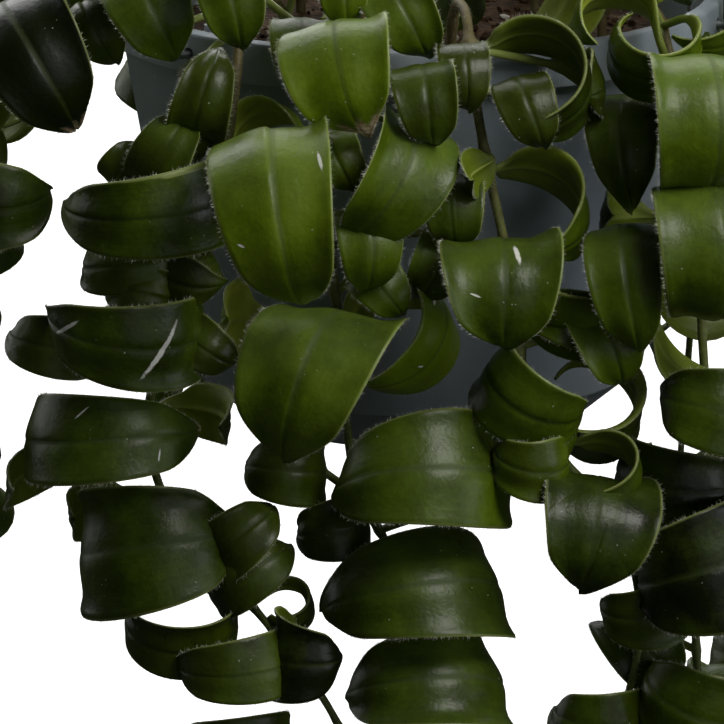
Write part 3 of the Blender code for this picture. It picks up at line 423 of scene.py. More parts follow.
def wire_route(turn):
    """Points of one hanger wire, from its hooked end inside the rim to its socket in the ferrule."""
    out = side_point(turn, 1, 0)
    level = POT_HEIGHT - WIRE_HOLE_DROP
    shape = [(-6.5, 6), (-6.5, 2.2), (-5.6, 0.6), (-4, 0), (2.2, 0), (3.6, 0.6), (4.3, 2), (4.3, 10)]
    route = [out * (RIM_RADIUS + r * MM) + Vector((0, 0, level + z * MM)) for r, z in shape]
    top = [(9, -22), (4.2, -8), (3, -2), (3, SOCKET_DEPTH / MM - 0.3)]
    route += [out * (r * MM) + Vector((0, 0, FERRULE_BASE + z * MM)) for r, z in top]
    return route


# Zinc plating is semi-bright, patchy in tone and a little rough
zinc, tree, shader, place = new_material("zinc_plated_drawn_steel")
spangle = add(tree, "TexNoise", {"Vector": place, "Scale": 1 / SPANGLE_SIZE, "Detail": 5, "Roughness": 0.6})
lengthwise = add(tree, "Mapping", {"Vector": place, "Scale": (1, 1, 1 / LINE_STRETCH)})
drawn = add(tree, "TexNoise", {"Vector": lengthwise, "Scale": 1 / DRAWN_LINE, "Detail": 3})
fill(tree, shader, {
    "Base Color": add(tree, "ValToRGB", {"Fac": spangle}, stops=((0.3, "#9fa3a6"), (0.7, "#c9cccd"))),
    "Roughness": add(tree, "ValToRGB", {"Fac": spangle}, stops=((0.3, 0.28), (0.7, 0.46))),
    "Metallic": 1,
    "Normal": add(tree, "Bump", {"Height": drawn, "Strength": 0.2, "Distance": 0.05 * MM})})


def round_wire(name, points, radius, taper=0):
    """A round wire through the points, with rounded bends and a rounded last end."""
    curve = bpy.data.curves.new(name, "CURVE")
    curve.dimensions = "3D"
    curve.bevel_depth = radius
    curve.bevel_resolution = 4
    curve.use_fill_caps = True
    spline = curve.splines.new("POLY")
    spline.points.add(len(points) - 1)
    for k, (spot, point) in enumerate(zip(spline.points, points)):
        spot.co = (*point, 1)
        left = len(points) - 1 - k
        spot.radius = math.sqrt(1 - (1 - left / taper) ** 2 * 0.96) if left < taper else 1
    curve.materials.append(zinc)
    made = bpy.data.objects.new(name, curve)
    scene.collection.objects.link(made)
    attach(made, "root")
    return made


def smooth_route(points, count):
    """Catmull-Rom points, evenly spread along the route."""
    ends = [points[0] * 2 - points[1]] + list(points) + [points[-1] * 2 - points[-2]]
    fine = []
    for a, b, c, d in zip(ends, ends[1:], ends[2:], ends[3:]):
        for u in (k / BEND_STEPS for k in range(BEND_STEPS)):
            fine.append(0.5 * (2 * b + (c - a) * u + (2 * a - 5 * b + 4 * c - d) * u * u
                               + (3 * b - a - 3 * c + d) * u**3))
    fine.append(points[-1].copy())
    reach = [0.0]
    for a, b in zip(fine, fine[1:]):
        reach.append(reach[-1] + (b - a).length)
    found, k = [], 0
    for n in range(count):
        want = reach[-1] * n / (count - 1)
        while k < len(fine) - 2 and reach[k + 1] < want:
            k += 1
        share = (want - reach[k]) / max(reach[k + 1] - reach[k], 1e-9)
        found.append(fine[k].lerp(fine[k + 1], min(max(share, 0), 1)))
    return found


for k, turn in enumerate(WIRE_TURNS):
    route = wire_route(turn)
    wire = round_wire(f"wire_{k + 1}", smooth_route(route[:8], 60) + smooth_route(route[8:], 24), WIRE_RADIUS)
    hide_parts(f"hanger_wire_{k + 1}")

top = FERRULE_BASE + FERRULE_HEIGHT
outline = [(0, FERRULE_BASE), (FERRULE_RADIUS, FERRULE_BASE)]
for share in (0.3, 0.7):
    middle = FERRULE_BASE + FERRULE_HEIGHT * share
    outline += [(FERRULE_RADIUS, middle - 1.6 * MM), (FERRULE_RADIUS - CRIMP_DEPTH, middle - 0.7 * MM),
                (FERRULE_RADIUS - CRIMP_DEPTH, middle + 0.7 * MM), (FERRULE_RADIUS, middle + 1.6 * MM)]
outline += [(FERRULE_RADIUS, top), (0, top)]
ferrule = link_mesh("ferrule", turned(outline, 48, math.radians(20), 0.3 * MM), zinc)
sockets = [rod(side_point(turn, WIRE_CIRCLE, FERRULE_BASE - SOCKET_DEPTH),
               side_point(turn, WIRE_CIRCLE, FERRULE_BASE + SOCKET_DEPTH),
               WIRE_RADIUS + SOCKET_ROOM, WIRE_HOLE_SIDES) for turn in WIRE_TURNS]
sockets.append(rod(Vector((0, 0, top - SOCKET_DEPTH)), Vector((0, 0, top + SOCKET_DEPTH)),
                   HOOK_RADIUS + SOCKET_ROOM, WIRE_HOLE_SIDES))
cut(ferrule, sockets)
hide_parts("hanger_ferrule")

middle = top + 30 * MM
shank = [(0, top - SOCKET_DEPTH + SOCKET_ROOM), (0, top + 4 * MM), (1 * MM, top + 8 * MM),
         (5.5 * MM, top + 14.5 * MM), (11 * MM, top + 21 * MM)]
bend = [(HOOK_BEND * math.cos(math.radians(a)), middle + HOOK_BEND * math.sin(math.radians(a)))
        for a in range(-5, 206, 21)]
hook = round_wire("hook", smooth_route([Vector((x, 0, z)) for x, z in shank + bend], 90), HOOK_RADIUS, 3)
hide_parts("hanger_hook")

# Where the stems and leaves stand: the trailing stems over the rim and the short shoots in the crown, with
# every curled leaf. The front ones follow the photo, and the rest grow by a rule from a fixed seed. The
# search for clear places is the one that placed the leaves of the CAD part.
STEM_RADIUS = 1.3 * MM
STEM_SIDES = 4
ROUTE_STEPS = 12
STEM_ROOT_DEPTH = 18 * MM
PETIOLE_RADIUS = 1.0 * MM
BLADE_THICKNESS = 1.0 * MM
BLADE_CUP = 0.9 * MM
# The blade's outline: its share of the half wave at the foot, how early it is widest, how blunt it
# stays, and from where and by how much it is drawn out into a point
OUTLINE_FOOT = 0.09
OUTLINE_EARLY = 0.75
OUTLINE_BLUNT = 0.5
POINT_FROM = 0.72
POINT_DRAWN = 0.5
FRONT_STATIONS = (0.0, 0.17, 0.4, 0.63, 0.85)
GROWN_STATIONS = (0.0, 0.22, 0.52, 0.82)
CLEAR = 0.85 * MM
# Room round the pot's wall and the wires, and how far under the base the pot's own space reaches
POT_ROOM = 1.2 * MM
WIRE_ROOM = 2 * MM
UNDER_POT = 35 * MM
# The last of a petiole, where it runs into the blade
PETIOLE_END = 2.5 * MM
# A petiole is at most this long, and its cosine to the blade's first way is at least this much
LONGEST_PETIOLE = 34 * MM
LEAST_FLOW = -0.15
# What a smoother petiole, and a curl turned the other way, are worth in petiole length
FLOW_WORTH = 12 * MM
FLIP_PRICE = 34 * MM
# Grown leaves: radii, widths (mm), sweeps of each half (degrees), how far the tip tightens, shares of
# ringlets and of ringlets with arching bands, and how many changes are tried to find a clear place
GROWN_RADII = (14, 18.5)
GROWN_WIDTHS = (19, 25)
GROWN_SWEEPS = (95, 130)
GROWN_TIGHTEN = (0.65, 0.9)
RINGLET_SHARE = 0.6
BAND_SHARE = 0.82
GROWN_TRIES = 14
# Spacing of leaf pairs: least, and what a full-sized leaf adds (mm)
PAIR_SPACING = (12, 18)
# How far a front leaf may be moved towards the viewer to stand clear, tried in this order (mm)
NEARER = (0, 1.5, -1.5, 3, -3, 4.5, -4.5, 6, -6, 8, -8, 10, -10, 12, 14, 17)
# After each round of those it is also shaken and shrunk by more: mm, degrees, share of its size
LOOSER = (1.2, 5, 0.04)
SEED = 11

# Left, centre, right-centre, right and far-left stems as the front shows them: points in millimetres,
# from the soil, over the rim and down. The list was chosen.
FRONT_STEMS = {
    "left": [
        (-28, -44, 98), (-33, -54, 113), (-39, -67, 115), (-41, -79, 103), (-45, -84, 80),
        (-54, -88, 59), (-61, -90, 27), (-62, -90, 9), (-48, -90, -12), (-36, -90, -27),
        (-23, -90, -45), (-15, -88, -62), (-11, -86, -84), (-13, -84, -102),
    ],
    "centre": [
        (-12, -48, 98), (-14, -60, 113), (-17, -74, 115), (-19, -84, 105), (-21, -89, 79),
        (-20, -90, 62), (-18, -90, 45), (-16, -89, 17), (-14, -84, 3), (-7, -77, -12),
        (-3, -76, -32), (-1, -78, -54), (-3, -80, -82), (-2, -82, -112),
    ],
    "right_centre": [
        (8, -48, 98), (9, -60, 113), (11, -75, 114), (12, -84, 104), (14, -87, 92),
        (17, -88, 75), (20, -88, 62), (23, -88, 40), (29, -90, 19), (40, -91, 6),
        (50, -90, -12), (52, -88, -36), (47, -86, -60), (42, -84, -86),
    ],
    "right": [
        (36, -32, 98), (43, -43, 113), (51, -54, 116), (57, -63, 107), (63, -71, 81),
        (66, -75, 46), (68, -77, 10), (66, -78, -26), (68, -79, -56), (72, -78, -88),
        (70, -76, -118),
    ],
    "far_left": [
        (-40, -28, 98), (-53, -38, 112), (-66, -45, 115), (-79, -50, 109), (-92, -54, 102),
        (-103, -57, 91), (-112, -58, 72), (-119, -57, 42), (-121, -55, 4), (-119, -53, -34),
        (-121, -51, -72),
    ],
}

# Curled leaves of the front stems, as the front shows them. Each row: the curl's centre x, y, z; its
# radius; the blade's width (mm); the curl axis' roll to the right and lean towards the viewer; the
# turns where the blade begins and ends, 0 at the front and 90 at the right (degrees); how much the
# curl tightens to its tip; and, where it isn't 0, how far the blade shifts along the axis. A row that is
# there twice gives two leaves, of which the second moves clear of the first.
FRONT_LEAVES = {
    "left": [
        (-61, -90, 75, 19.5, 20, -5, 18, 105, -97, 1.00),
        (-67, -92, 46, 17.5, 20, 6, 22, 105, -98, 1.00),
        (-84, -66, 34, 10, 14, 10, 10, 80, -105, 1.00),
        (-70, -86, 17, 20, 21, -2, 3, -112, 92, 0.95),
        (-78, -70, 4, 18, 13, -15, 10, -170, -65, 1.00),
        (-58, -76, 18, 14, 14, 5, 10, 170, 60, 1.00),
        (-60, -88, -9, 17.5, 31, -5, 2, -112, 92, 0.95, 4),
        (-65, -72, -3, 16, 16, 0, 5, -170, -70, 1.00),
        (-54, -82, -27, 14, 16, 0, 28, 110, -120, 0.80),
        (-41, -78, -11, 10, 16, -35, 0, -100, 92, 1.00),
        (-39, -86, -15, 11.5, 17, -25, 0, -100, 92, 1.00),
        (-42, -87, -37, 14.5, 17, -3, 12, 112, -95, 0.95),
        (-27, -84, -35, 9, 22, 14, 10, -150, 100, 0.95),
        (-43, -85, -59, 13, 18, 0, 10, 110, -110, 0.85),
        (-48, -76, 95, 10, 14, 105, 0, 110, -85, 1.00),
        (-57, -76, 83, 10.5, 17, 110, 0, 110, -85, 1.00),
        (-67, -74, 77, 6, 12, 115, 0, 100, -80, 1.00),
        (-66, -78, 57, 11, 14, -8, 10, 70, -130, 0.85),
        (-49, -85, 56, 10, 17, 10, 30, -150, 60, 0.90),
        (-42, -78, 117, 11.5, 17, 80, 0, -110, 80, 0.90),
        (-27, -76, 104, 8.5, 14, 90, 0, -110, 75, 0.90),
        (-30, -90, -24, 5.5, 9, 0, 60, 220, -60, 0.90),
        (-64, -74, 50, 8.5, 14, 8, 10, 105, -100, 0.90),
        (-47, -68, 96, 7, 12, 60, 0, -105, 80, 0.90),
        (-50, -70, 86, 8, 13, 95, 0, -105, 80, 0.90),
        (-51, -72, 50, 7.5, 13, -20, 10, 100, -95, 0.90),
        (-49, -74, 35, 8, 14, 20, 10, -105, 95, 0.90),
    ],
    "centre": [
        (-30, -105, 73, 19.5, 28, 85, 6, -120, 97, 0.95, 6),
        (-15, -96, 103, 13.3, 26, 82, 14, -105, 75, 1.00, 5),
        (-17, -80, 120, 9, 13, 85, 0, -110, 80, 0.90),
        (-10, -92, 79, 15.5, 22, -63, 24, 95, -82, 1.00, 4),
        (-23, -103, 33, 17.5, 33, 104, 14, -118, 82, 1.00, -6),
        (-6, -88, 41, 13.5, 22, -38, 50, 195, -78, 0.95),
        (-36, -76, 41, 9, 19, 8, 0, -160, -60, 1.00),
        (-31, -84, 8, 9, 16, 5, 5, 110, -110, 0.90),
        (-20, -82, -7, 8, 15, -10, 5, 110, -110, 0.90),
        (0, -93, 6, 20, 28, -6, -14, 105, -92, 0.95),
        (-2, -92, -22, 20.4, 28, -8, -14, 110, -90, 0.95),
        (2, -91, -44, 18.7, 26, -6, -10, 110, -92, 0.95),
        (-12, -82, 58, 10, 17, 80, 0, -110, 100, 0.90),
        (8, -80, 68, 8, 15, 85, 0, -110, 90, 0.90),
        (-3, -86, 116, 11, 16, 60, 0, -100, 85, 0.90),
        (-35, -86, 88, 8.5, 14, -30, 50, 250, 60, 0.95),
        (-17, -78, 79, 8, 13, 70, 0, -105, 80, 0.90),
        (1, -76, 56, 9, 15, -70, 10, 90, -85, 0.90),
        (-9, -74, 49, 8, 14, 60, 0, -105, 80, 0.90),
    ],
    "right_centre": [
        (26, -87, 101, 13, 19, 0, 62, 220, -35, 0.90),
        (36, -80, 98, 9, 17, 0, 20, 150, 30, 1.00),
        (26, -88, 71, 13, 20, 15, 50, 215, 20, 0.90),
        (18, -86, 81, 8, 11, -30, 10, -170, -60, 1.00),
        (19, -101, 54, 12.5, 28, 88, 0, -105, 68, 1.00),
        (38, -80, 56, 18, 19, 0, 55, -50, 115, 1.00),
        (28, -91, 29, 12, 19, 25, 30, -120, 110, 0.80),
        (41, -89, 26, 11, 19, 10, 65, -30, 250, 0.85),
        (24, -88, 12, 9, 15, 0, 20, 110, -110, 0.90),
        (44, -78, 35, 10, 17, 60, 0, -110, 90, 0.90),
        (42, -91, 9, 9, 15, 0, 60, 200, -60, 0.90),
        (40, -100, -3, 14, 30, 98, 0, -105, 72, 1.00),
        (40, -100, -3, 14, 30, 98, 0, -105, 72, 1.00),
        (2, -78, 92, 9, 15, 80, 0, -110, 90, 0.90),
        (43, -86, -52, 11, 17, 5, 15, 110, -110, 0.85),
        (11, -76, 98, 8, 13, 80, 0, -105, 85, 0.90),
        (11, -76, 98, 8, 13, 80, 0, -105, 85, 0.90),
        (24, -74, 89, 9, 15, 70, 0, -105, 85, 0.90),
        (27, -76, 18, 9, 15, 15, 10, 100, -95, 0.90),
        (33, -76, 46, 9, 15, 20, 10, 100, -95, 0.90),
    ],
    "right": [
        (43, -71, 109, 10.5, 18, 0, 55, 80, 330, 0.90),
        (54, -78, 108, 10, 17, 0, 60, 110, -150, 0.90),
        (66, -66, 111, 12, 17, 0, 60, 250, -40, 0.90),
        (66, -94, 92, 16.2, 30, 84, -6, -110, 158, 0.95),
        (67, -97, 64, 15.5, 30, 86, -6, -110, 150, 0.95),
        (50, -72, 80, 15, 19, 85, 10, -120, 60, 0.90),
        (53, -74, 66, 10, 15, 0, 0, -175, -50, 1.00),
        (51, -76, 46, 16, 19, 80, 0, -100, 80, 0.90),
        (72, -80, 44, 19, 17, 0, -60, -90, -200, 1.00),
        (69, -80, 22, 14, 21, 10, 5, 115, -105, 0.85),
        (62, -82, 5, 14, 21, 5, 15, -110, 110, 0.85),
        (66, -87, -15, 16, 30, -15, 5, 115, -110, 0.80),
        (53, -82, -25, 10, 17, 0, 35, 120, -110, 0.85),
        (55, -70, -42, 10, 19, 60, 0, -110, 90, 0.90),
        (66, -84, -46, 13, 23, 20, 30, 115, -110, 0.85),
    ],
    "far_left": [
        (-87, -62, 98, 17, 26, 60, 0, -100, 80, 0.90),
        (-98, -62, 69, 12, 22, 0, 20, -110, 93, 1.00),
        (-74, -56, 105, 8, 13, 60, 0, -110, 90, 0.90),
        (-60, -66, 111, 12, 20, 65, 0, -95, 70, 0.90),
    ],
}
# The front stems carry no other leaves between these heights, where the photo shows them
FRONT_TOP = 100 * MM
FRONT_FOOT = -56 * MM

# Stems round the sides and back: the turn from the front, how far out it hangs and the height of its
# free end (mm). Those behind the pot are shorter, as no foliage shows under the pot in the photo.
OTHER_STEMS = {
    "side_right_1": (66, 106, -84), "side_right_2": (89, 110, -76), "side_right_3": (112, 106, -50),
    "back_right_1": (134, 100, -40), "back_right_2": (163, 98, -30), "back_middle": (181, 100, -26),
    "back_left_1": (204, 98, -18), "back_left_2": (222, 96, -18), "side_left_1": (243, 134, -62),
    "side_left_2": (266, 126, -74),
}
# Short shoots that stand up in the crown: the turn from the front, distance from the middle, height
CROWN_SHOOTS = {"crown_1": (20, 14, 50), "crown_2": (150, 20, 44), "crown_3": (258, 20, 46)}

# Places where the background shows between the leaves, as boxes in picture pixels
OPEN_PLACES = (
    (84, 62, 116, 120), (60, 110, 132, 165), (22, 128, 60, 165), (45, 165, 100, 182),
    (55, 185, 66, 240), (22, 215, 66, 300), (0, 245, 80, 300), (0, 300, 17, 400), (0, 375, 60, 395),
    (0, 400, 26, 440), (0, 500, 66, 610), (0, 610, 84, 724), (84, 622, 140, 724), (140, 650, 172, 724),
    (205, 380, 240, 470), (225, 460, 245, 500), (245, 500, 300, 512), (300, 556, 330, 590),
    (505, 482, 530, 545), (508, 540, 556, 724), (556, 605, 600, 700), (600, 640, 636, 690),
    (628, 396, 668, 440), (672, 318, 724, 350), (690, 345, 724, 370),
)


class Curl:
    """A leaf curled round an axis, from where its petiole leaves the stem to its tip."""

    def __init__(self, centre, axis, face, radius, width, begin, end, tighten, drift=0.0,
                 stations=FRONT_STATIONS):
        self.centre = Vector(centre)
        self.axis = axis.normalized()
        self.face = (face - self.axis * face.dot(self.axis)).normalized()
        self.side = self.axis.cross(self.face)
        self.radius, self.width = radius, width
        self.begin, self.end = begin, end
        self.tighten, self.drift = tighten, drift
        self.stations = stations
        self.root = None

    def midrib(self, t):
        """The midrib's point and the direction out of the curl there."""
        turn = math.radians(self.begin + (self.end - self.begin) * t)
        out = self.face * math.cos(turn) + self.side * math.sin(turn)
        reach = self.radius * (1 + (self.tighten - 1) * (t - 0.4))
        return self.centre + out * reach + self.axis * (self.drift * (t - 0.5)), out

    def start_way(self):
        """The way the blade runs where it begins."""
        return (self.midrib(0.05)[0] - self.midrib(0)[0]).normalized()

    def take_root(self, places):
        """Roots the leaf where the petiole is short and runs on into the blade. Returns its cost."""
        base, way = self.midrib(0)[0], self.start_way()

        def cost(place):
            petiole = base - place
            return petiole.length - FLOW_WORTH * petiole.normalized().dot(way)

        self.root = min(places, key=cost)
        return cost(self.root)

    def reach(self):
        return 1.3 * self.radius + 0.6 * self.width + LONGEST_PETIOLE

    def half_width(self, t):
        """Half the blade's width: widest a third along, with a drawn-out point."""
        wave = (OUTLINE_FOOT + (1 - OUTLINE_FOOT) * t) ** OUTLINE_EARLY
        tip = min(max((t - POINT_FROM) / (1 - POINT_FROM), 0), 1)
        drawn = POINT_DRAWN * tip * tip * (3 - 2 * tip)
        return self.width / 2 * math.sin(math.pi * wave) ** OUTLINE_BLUNT * (1 - drawn)

    def sections(self, thickness=BLADE_THICKNESS, spread=0.0):
        """Three-sided sections from the stem to the tip: two margins and the midrib, then the tip."""
        way = (self.midrib(0)[0] - self.root).normalized()
        across = (self.axis - way * self.axis.dot(way)).normalized()
        above = way.cross(across) if self.end > self.begin else across.cross(way)
        arm = PETIOLE_RADIUS
        found = [[self.root - across * arm - above * arm * 0.5,
                  self.root + across * arm - above * arm * 0.5, self.root + above * arm]]
        for t in self.stations:
            point, out = self.midrib(t)
            half = self.half_width(t) + spread
            bend = BLADE_CUP * (2 * half / self.width) ** 2
            under = point - out * (thickness * 0.5 + bend)
            found.append([under - self.axis * half, under + self.axis * half,
                          point + out * thickness * 0.5])
        return found, self.midrib(1)[0]


def leaf_faces(sections):
    """The faces of a chain of three-sided sections that ends in a point, as vertex numbers."""
    last = 3 * len(sections)
    faces = [(0, 1, 2)]
    for k in range(len(sections) - 1):
        low, high = 3 * k, 3 * k + 3
        for i, j in ((0, 1), (1, 2), (2, 0)):
            faces.append((low + i, low + j, high + j, high + i))
    faces += [(last - 3 + i, last - 3 + j, last) for i, j in ((0, 1), (1, 2), (2, 0))]
    return faces


def leaf_tree(leaf, thickness, spread=0.0, blade_only=False):
    sections, tip = leaf.sections(thickness, spread)
    if blade_only:
        sections = sections[1:]
    points = [p for section in sections for p in section] + [tip]
    return BVHTree.FromPolygons(points, leaf_faces(sections))


class Stem:
    """A stem with its route, the solid tree of its tube and its leaves."""

    def __init__(self, name, points, count):
        self.name = name
        self.points = smooth_route(points, count)
        start = self.points[0]
        self.root = Vector((start.x, start.y, SOIL_LEVEL - STEM_ROOT_DEPTH))
        self.fine = [self.points[k // ROUTE_STEPS].lerp(self.points[k // ROUTE_STEPS + 1],
                                                        k % ROUTE_STEPS / ROUTE_STEPS)
                     for k in range(ROUTE_STEPS * (len(self.points) - 1))] + [self.points[-1]]
        self.length = sum((b - a).length for a, b in zip(self.fine, self.fine[1:]))
        self.leaves = []
        rings, sides = self.rings(STEM_RADIUS + CLEAR), STEM_SIDES
        faces = [(sides * k + i, sides * k + (i + 1) % sides,
                  sides * (k + 1) + (i + 1) % sides, sides * (k + 1) + i)
                 for k in range(len(rings) - 1) for i in range(sides)]
        self.tree = BVHTree.FromPolygons([p for ring in rings for p in ring], faces)

    def at(self, share):
        """The route's point and direction at a share of its length."""
        steps = len(self.fine) - 1
        k = min(int(share * steps), steps - 1)
        way = (self.fine[k + 1] - self.fine[k]).normalized()
        return self.fine[k].lerp(self.fine[k + 1], share * steps - k), way

    def rings(self, radius):
        """Rings of points round the route, from the root in the soil to the thin free end."""
        route = [self.root] + self.points
        found = []
        across = Vector((1, 0, 0))
        for k, point in enumerate(route):
            way = (route[min(k + 1, len(route) - 1)] - route[max(k - 1, 0)]).normalized()
            if k < 2:
                way = Vector((0, 0, 1))
            across = (across - way * across.dot(way)).normalized()
            other = way.cross(across)
            slim = radius * (1 - 0.35 * max(0, k / (len(route) - 1) - 0.5) * 2)
            found.append([point + (across * math.cos(a) + other * math.sin(a)) * slim
                          for a in (2 * math.pi * i / STEM_SIDES for i in range(STEM_SIDES))])
        return found


def wall_radius(height):
    """Outer radius of the pot, its skirt left out."""
    if height < FOOT_HEIGHT:
        return BASE_RADIUS + (WALL_FOOT_RADIUS - BASE_RADIUS) * max(height, 0) / FOOT_HEIGHT
    share = (height - FOOT_HEIGHT) / (POT_HEIGHT - FOOT_HEIGHT)
    return WALL_FOOT_RADIUS + (WALL_TOP_RADIUS - WALL_FOOT_RADIUS) * share


def in_pot(point):
    """Whether a point is within the pot or its soil, or right below the base, with some room."""
    reach, room = math.hypot(point.x, point.y), POT_ROOM
    if point.z > POT_HEIGHT + room or point.z < -UNDER_POT:
        return False
    if point.z < -room:
        return reach < BASE_RADIUS + 3 * MM
    if reach < WALL_TOP_RADIUS - WALL - room and point.z > SOIL_LEVEL + SOIL_BUMP + room:
        return False
    if point.z > POT_HEIGHT - SKIRT_DEPTH - room:
        return reach < RIM_RADIUS + room
    return reach < wall_radius(point.z) + room


def pot_tree():
    """The pot's skin, to find leaves that cross its wall."""
    profile = pot_profile()
    points = [side_point(360 * k / CAD_POT_SIDES, r, z) for k in range(CAD_POT_SIDES) for r, z in profile]
    count = len(profile)
    faces = []
    for k in range(CAD_POT_SIDES):
        here, there = count * k, count * ((k + 1) % CAD_POT_SIDES)
        faces += [(here + i, here + i + 1, there + i + 1, there + i) for i in range(count - 1)]
    return BVHTree.FromPolygons(points, faces)


def picture_place(point):
    """Where a point shows in the picture, in pixels across and down."""
    from_aim = point - PICTURE_AIM
    scale = PICTURE_PIXELS * PICTURE_DISTANCE / PICTURE_WIDTH
    scale /= PICTURE_DISTANCE - from_aim.dot(TO_VIEWER)
    return (PICTURE_PIXELS / 2 + from_aim.dot(PICTURE_RIGHT) * scale,
            PICTURE_PIXELS / 2 - from_aim.dot(PICTURE_UP) * scale)


def in_open_place(point):
    """Whether a point shows where the picture has only background."""
    across, down = picture_place(point)
    return any(a < across < c and b < down < d for a, b, c, d in OPEN_PLACES)


class Layout:
    """Places every curled leaf clear of the pot, the wires, the stems and the leaves before it."""

    def __init__(self):
        self.draw = random.Random(SEED)
        self.stems = []
        self.placed = []
        self.pot = pot_tree()
        self.wires = []
        for turn in WIRE_TURNS:
            for a, b in zip(wire_route(turn)[6:], wire_route(turn)[7:]):
                side = Vector((WIRE_ROOM, 0, 0))
                other = (b - a).cross(side).normalized() * WIRE_ROOM
                points = [end + r for end in (a, b) for r in (side, other, -side, -other)]
                self.wires.append(BVHTree.FromPolygons(
                    points, [(i, (i + 1) % 4, 4 + (i + 1) % 4, 4 + i) for i in range(4)]))

    def free(self, leaf, stem, fused):
        wide = leaf.sections(BLADE_THICKNESS + 2 * CLEAR, CLEAR)[0]
        if any(in_pot(p) for section in wide[1:] for p in section) or in_pot(leaf.midrib(1)[0]):
            return False
        blade = leaf_tree(leaf, BLADE_THICKNESS + 2 * CLEAR, CLEAR, blade_only=True)
        whole = leaf_tree(leaf, BLADE_THICKNESS + 2 * CLEAR, CLEAR)
        petiole = leaf.midrib(0)[0] - leaf.root
        if petiole.length > LONGEST_PETIOLE or petiole.normalized().dot(leaf.start_way()) < LEAST_FLOW:
            return False
        if blade.ray_cast(leaf.root, petiole, petiole.length - PETIOLE_END)[0]:
            return False
        if self.pot.overlap(whole) or any(wire.overlap(whole) for wire in self.wires):
            return False
        for other in self.stems:
            if other.tree.overlap(blade if other is stem else whole):
                return False
        slim_blade = leaf_tree(leaf, BLADE_THICKNESS, blade_only=True)
        slim_whole = leaf_tree(leaf, BLADE_THICKNESS)
        reach = leaf.reach()
        for its_stem, centre, size, its_blade, its_whole in self.placed:
            if (centre - leaf.centre).length > reach + size:
                continue
            if its_stem is not stem and its_whole.overlap(whole):
                return False
            if its_stem is stem and not fused and (
                    its_blade.overlap(slim_whole) or its_whole.overlap(slim_blade)):
                return False
        return True

    def keep(self, leaf, stem):
        stem.leaves.append(leaf)
        self.placed.append((stem, leaf.centre, leaf.reach(),
                            leaf_tree(leaf, BLADE_THICKNESS, blade_only=True),
                            leaf_tree(leaf, BLADE_THICKNESS)))

    def settle(self, make, tries, stem, hidden=False, fused=None):
        """Keeps the first of some ever larger changes to a leaf that is clear of all else.

        From try number fused on it may cross leaves of its own stem, which are joined with it.
        """
        for step in range(tries):
            leaf = make(step)
            if hidden and any(in_open_place(p) for section in leaf.sections()[0] for p in section):
                continue
            if self.free(leaf, stem, fused is not None and step >= fused):
                self.keep(leaf, stem)
                return step
        return None

    def front_leaf(self, row, stem):
        """A leaf that the front shows. Where it isn't clear it moves nearer or further from the viewer."""
        x, y, z, radius, width, roll, lean, begin, end, tighten, *drift = row
        start = Vector((x, y, z)) * MM
        draw = random.Random(f"{x} {y} {z}")

        def make(step):
            loose = step // len(NEARER)
            near = start + TO_VIEWER * NEARER[step % len(NEARER)] * MM
            shake, swing, shrink = LOOSER
            near += Vector([draw.uniform(-1, 1) * loose * shake * MM for _ in range(3)])
            spin = math.radians(roll + draw.uniform(-1, 1) * loose * swing)
            tip = math.radians(lean + draw.uniform(-1, 1) * loose * swing)
            up = PICTURE_UP * math.cos(spin) + PICTURE_RIGHT * math.sin(spin)
            size = (1 - shrink * loose) * MM
            found = []
            for first, last, price in ((begin, end, 0), (end, begin, FLIP_PRICE)):
                leaf = Curl(near, up * math.cos(tip) + TO_VIEWER * math.sin(tip),
                            TO_VIEWER * math.cos(tip) - up * math.sin(tip),
                            radius * size, width * size, first, last, tighten, sum(drift) * size)
                found.append((leaf.take_root(stem.fine[::2]) + price, first, leaf))
            return min(found, key=lambda each: each[:2])[2]

        return self.settle(make, 4 * len(NEARER), stem, fused=2 * len(NEARER))

    def grown_leaf(self, stem, share, heading, size):
        """A leaf by the growing rule: a ringlet round the stem, an arching band or an open ring."""
        place, way = stem.at(share)
        draw = self.draw
        kind = draw.random()
        hand = draw.choice((-1, 1))
        base = {"radius": draw.uniform(*GROWN_RADII), "width": draw.uniform(*GROWN_WIDTHS),
                "sweep": draw.uniform(*GROWN_SWEEPS), "tighten": draw.uniform(*GROWN_TIGHTEN)}

        def make(step):
            loose = 8 + 3 * step
            angle = math.radians(heading + draw.uniform(-1, 1) * (10 + 9 * step))
            out = stem_side(way, angle)
            across = way.cross(out)
            tilt = Matrix.Rotation(math.radians(draw.uniform(-1, 1) * loose), 3, out)
            tip = Matrix.Rotation(math.radians(draw.uniform(-1, 1) * loose), 3, across)
            scale = size * (1 - 0.025 * step) * MM
            radius, width = base["radius"] * scale, base["width"] * scale
            if kind < RINGLET_SHARE:
                axis, face = tilt @ (tip @ way), out
                centre = place + out * radius * 0.62
                begin, end = -118 * hand, base["sweep"] * hand
            elif kind < BAND_SHARE:
                axis, face = tilt @ across * hand, tip @ out
                centre = place + out * radius * 1.05
                begin, end = -112, base["sweep"]
                if axis.cross(face).z > 0:
                    begin, end = -begin, -end
            else:
                axis, face = tip @ out * hand, tilt @ across
                centre = place + across * radius * 1.05 + out * radius * 0.3
                begin, end = 180 - 40 * hand, 180 - (40 + 1.9 * base["sweep"]) * hand
            leaf = Curl(centre, axis, face, radius, width, begin, end, base["tighten"],
                        draw.uniform(-4, 4) * scale, GROWN_STATIONS)
            leaf.root = place
            return leaf

        return self.settle(make, GROWN_TRIES, stem, hidden=True)


def stem_side(way, angle):
    """A direction square to a stem's way, at an angle round it."""
    flat = Vector((0, 0, 1)) if abs(way.z) < 0.9 else Vector((0, -1, 0))
    first = (flat - way * flat.dot(way)).normalized()
    return first * math.cos(angle) + way.cross(first) * math.sin(angle)


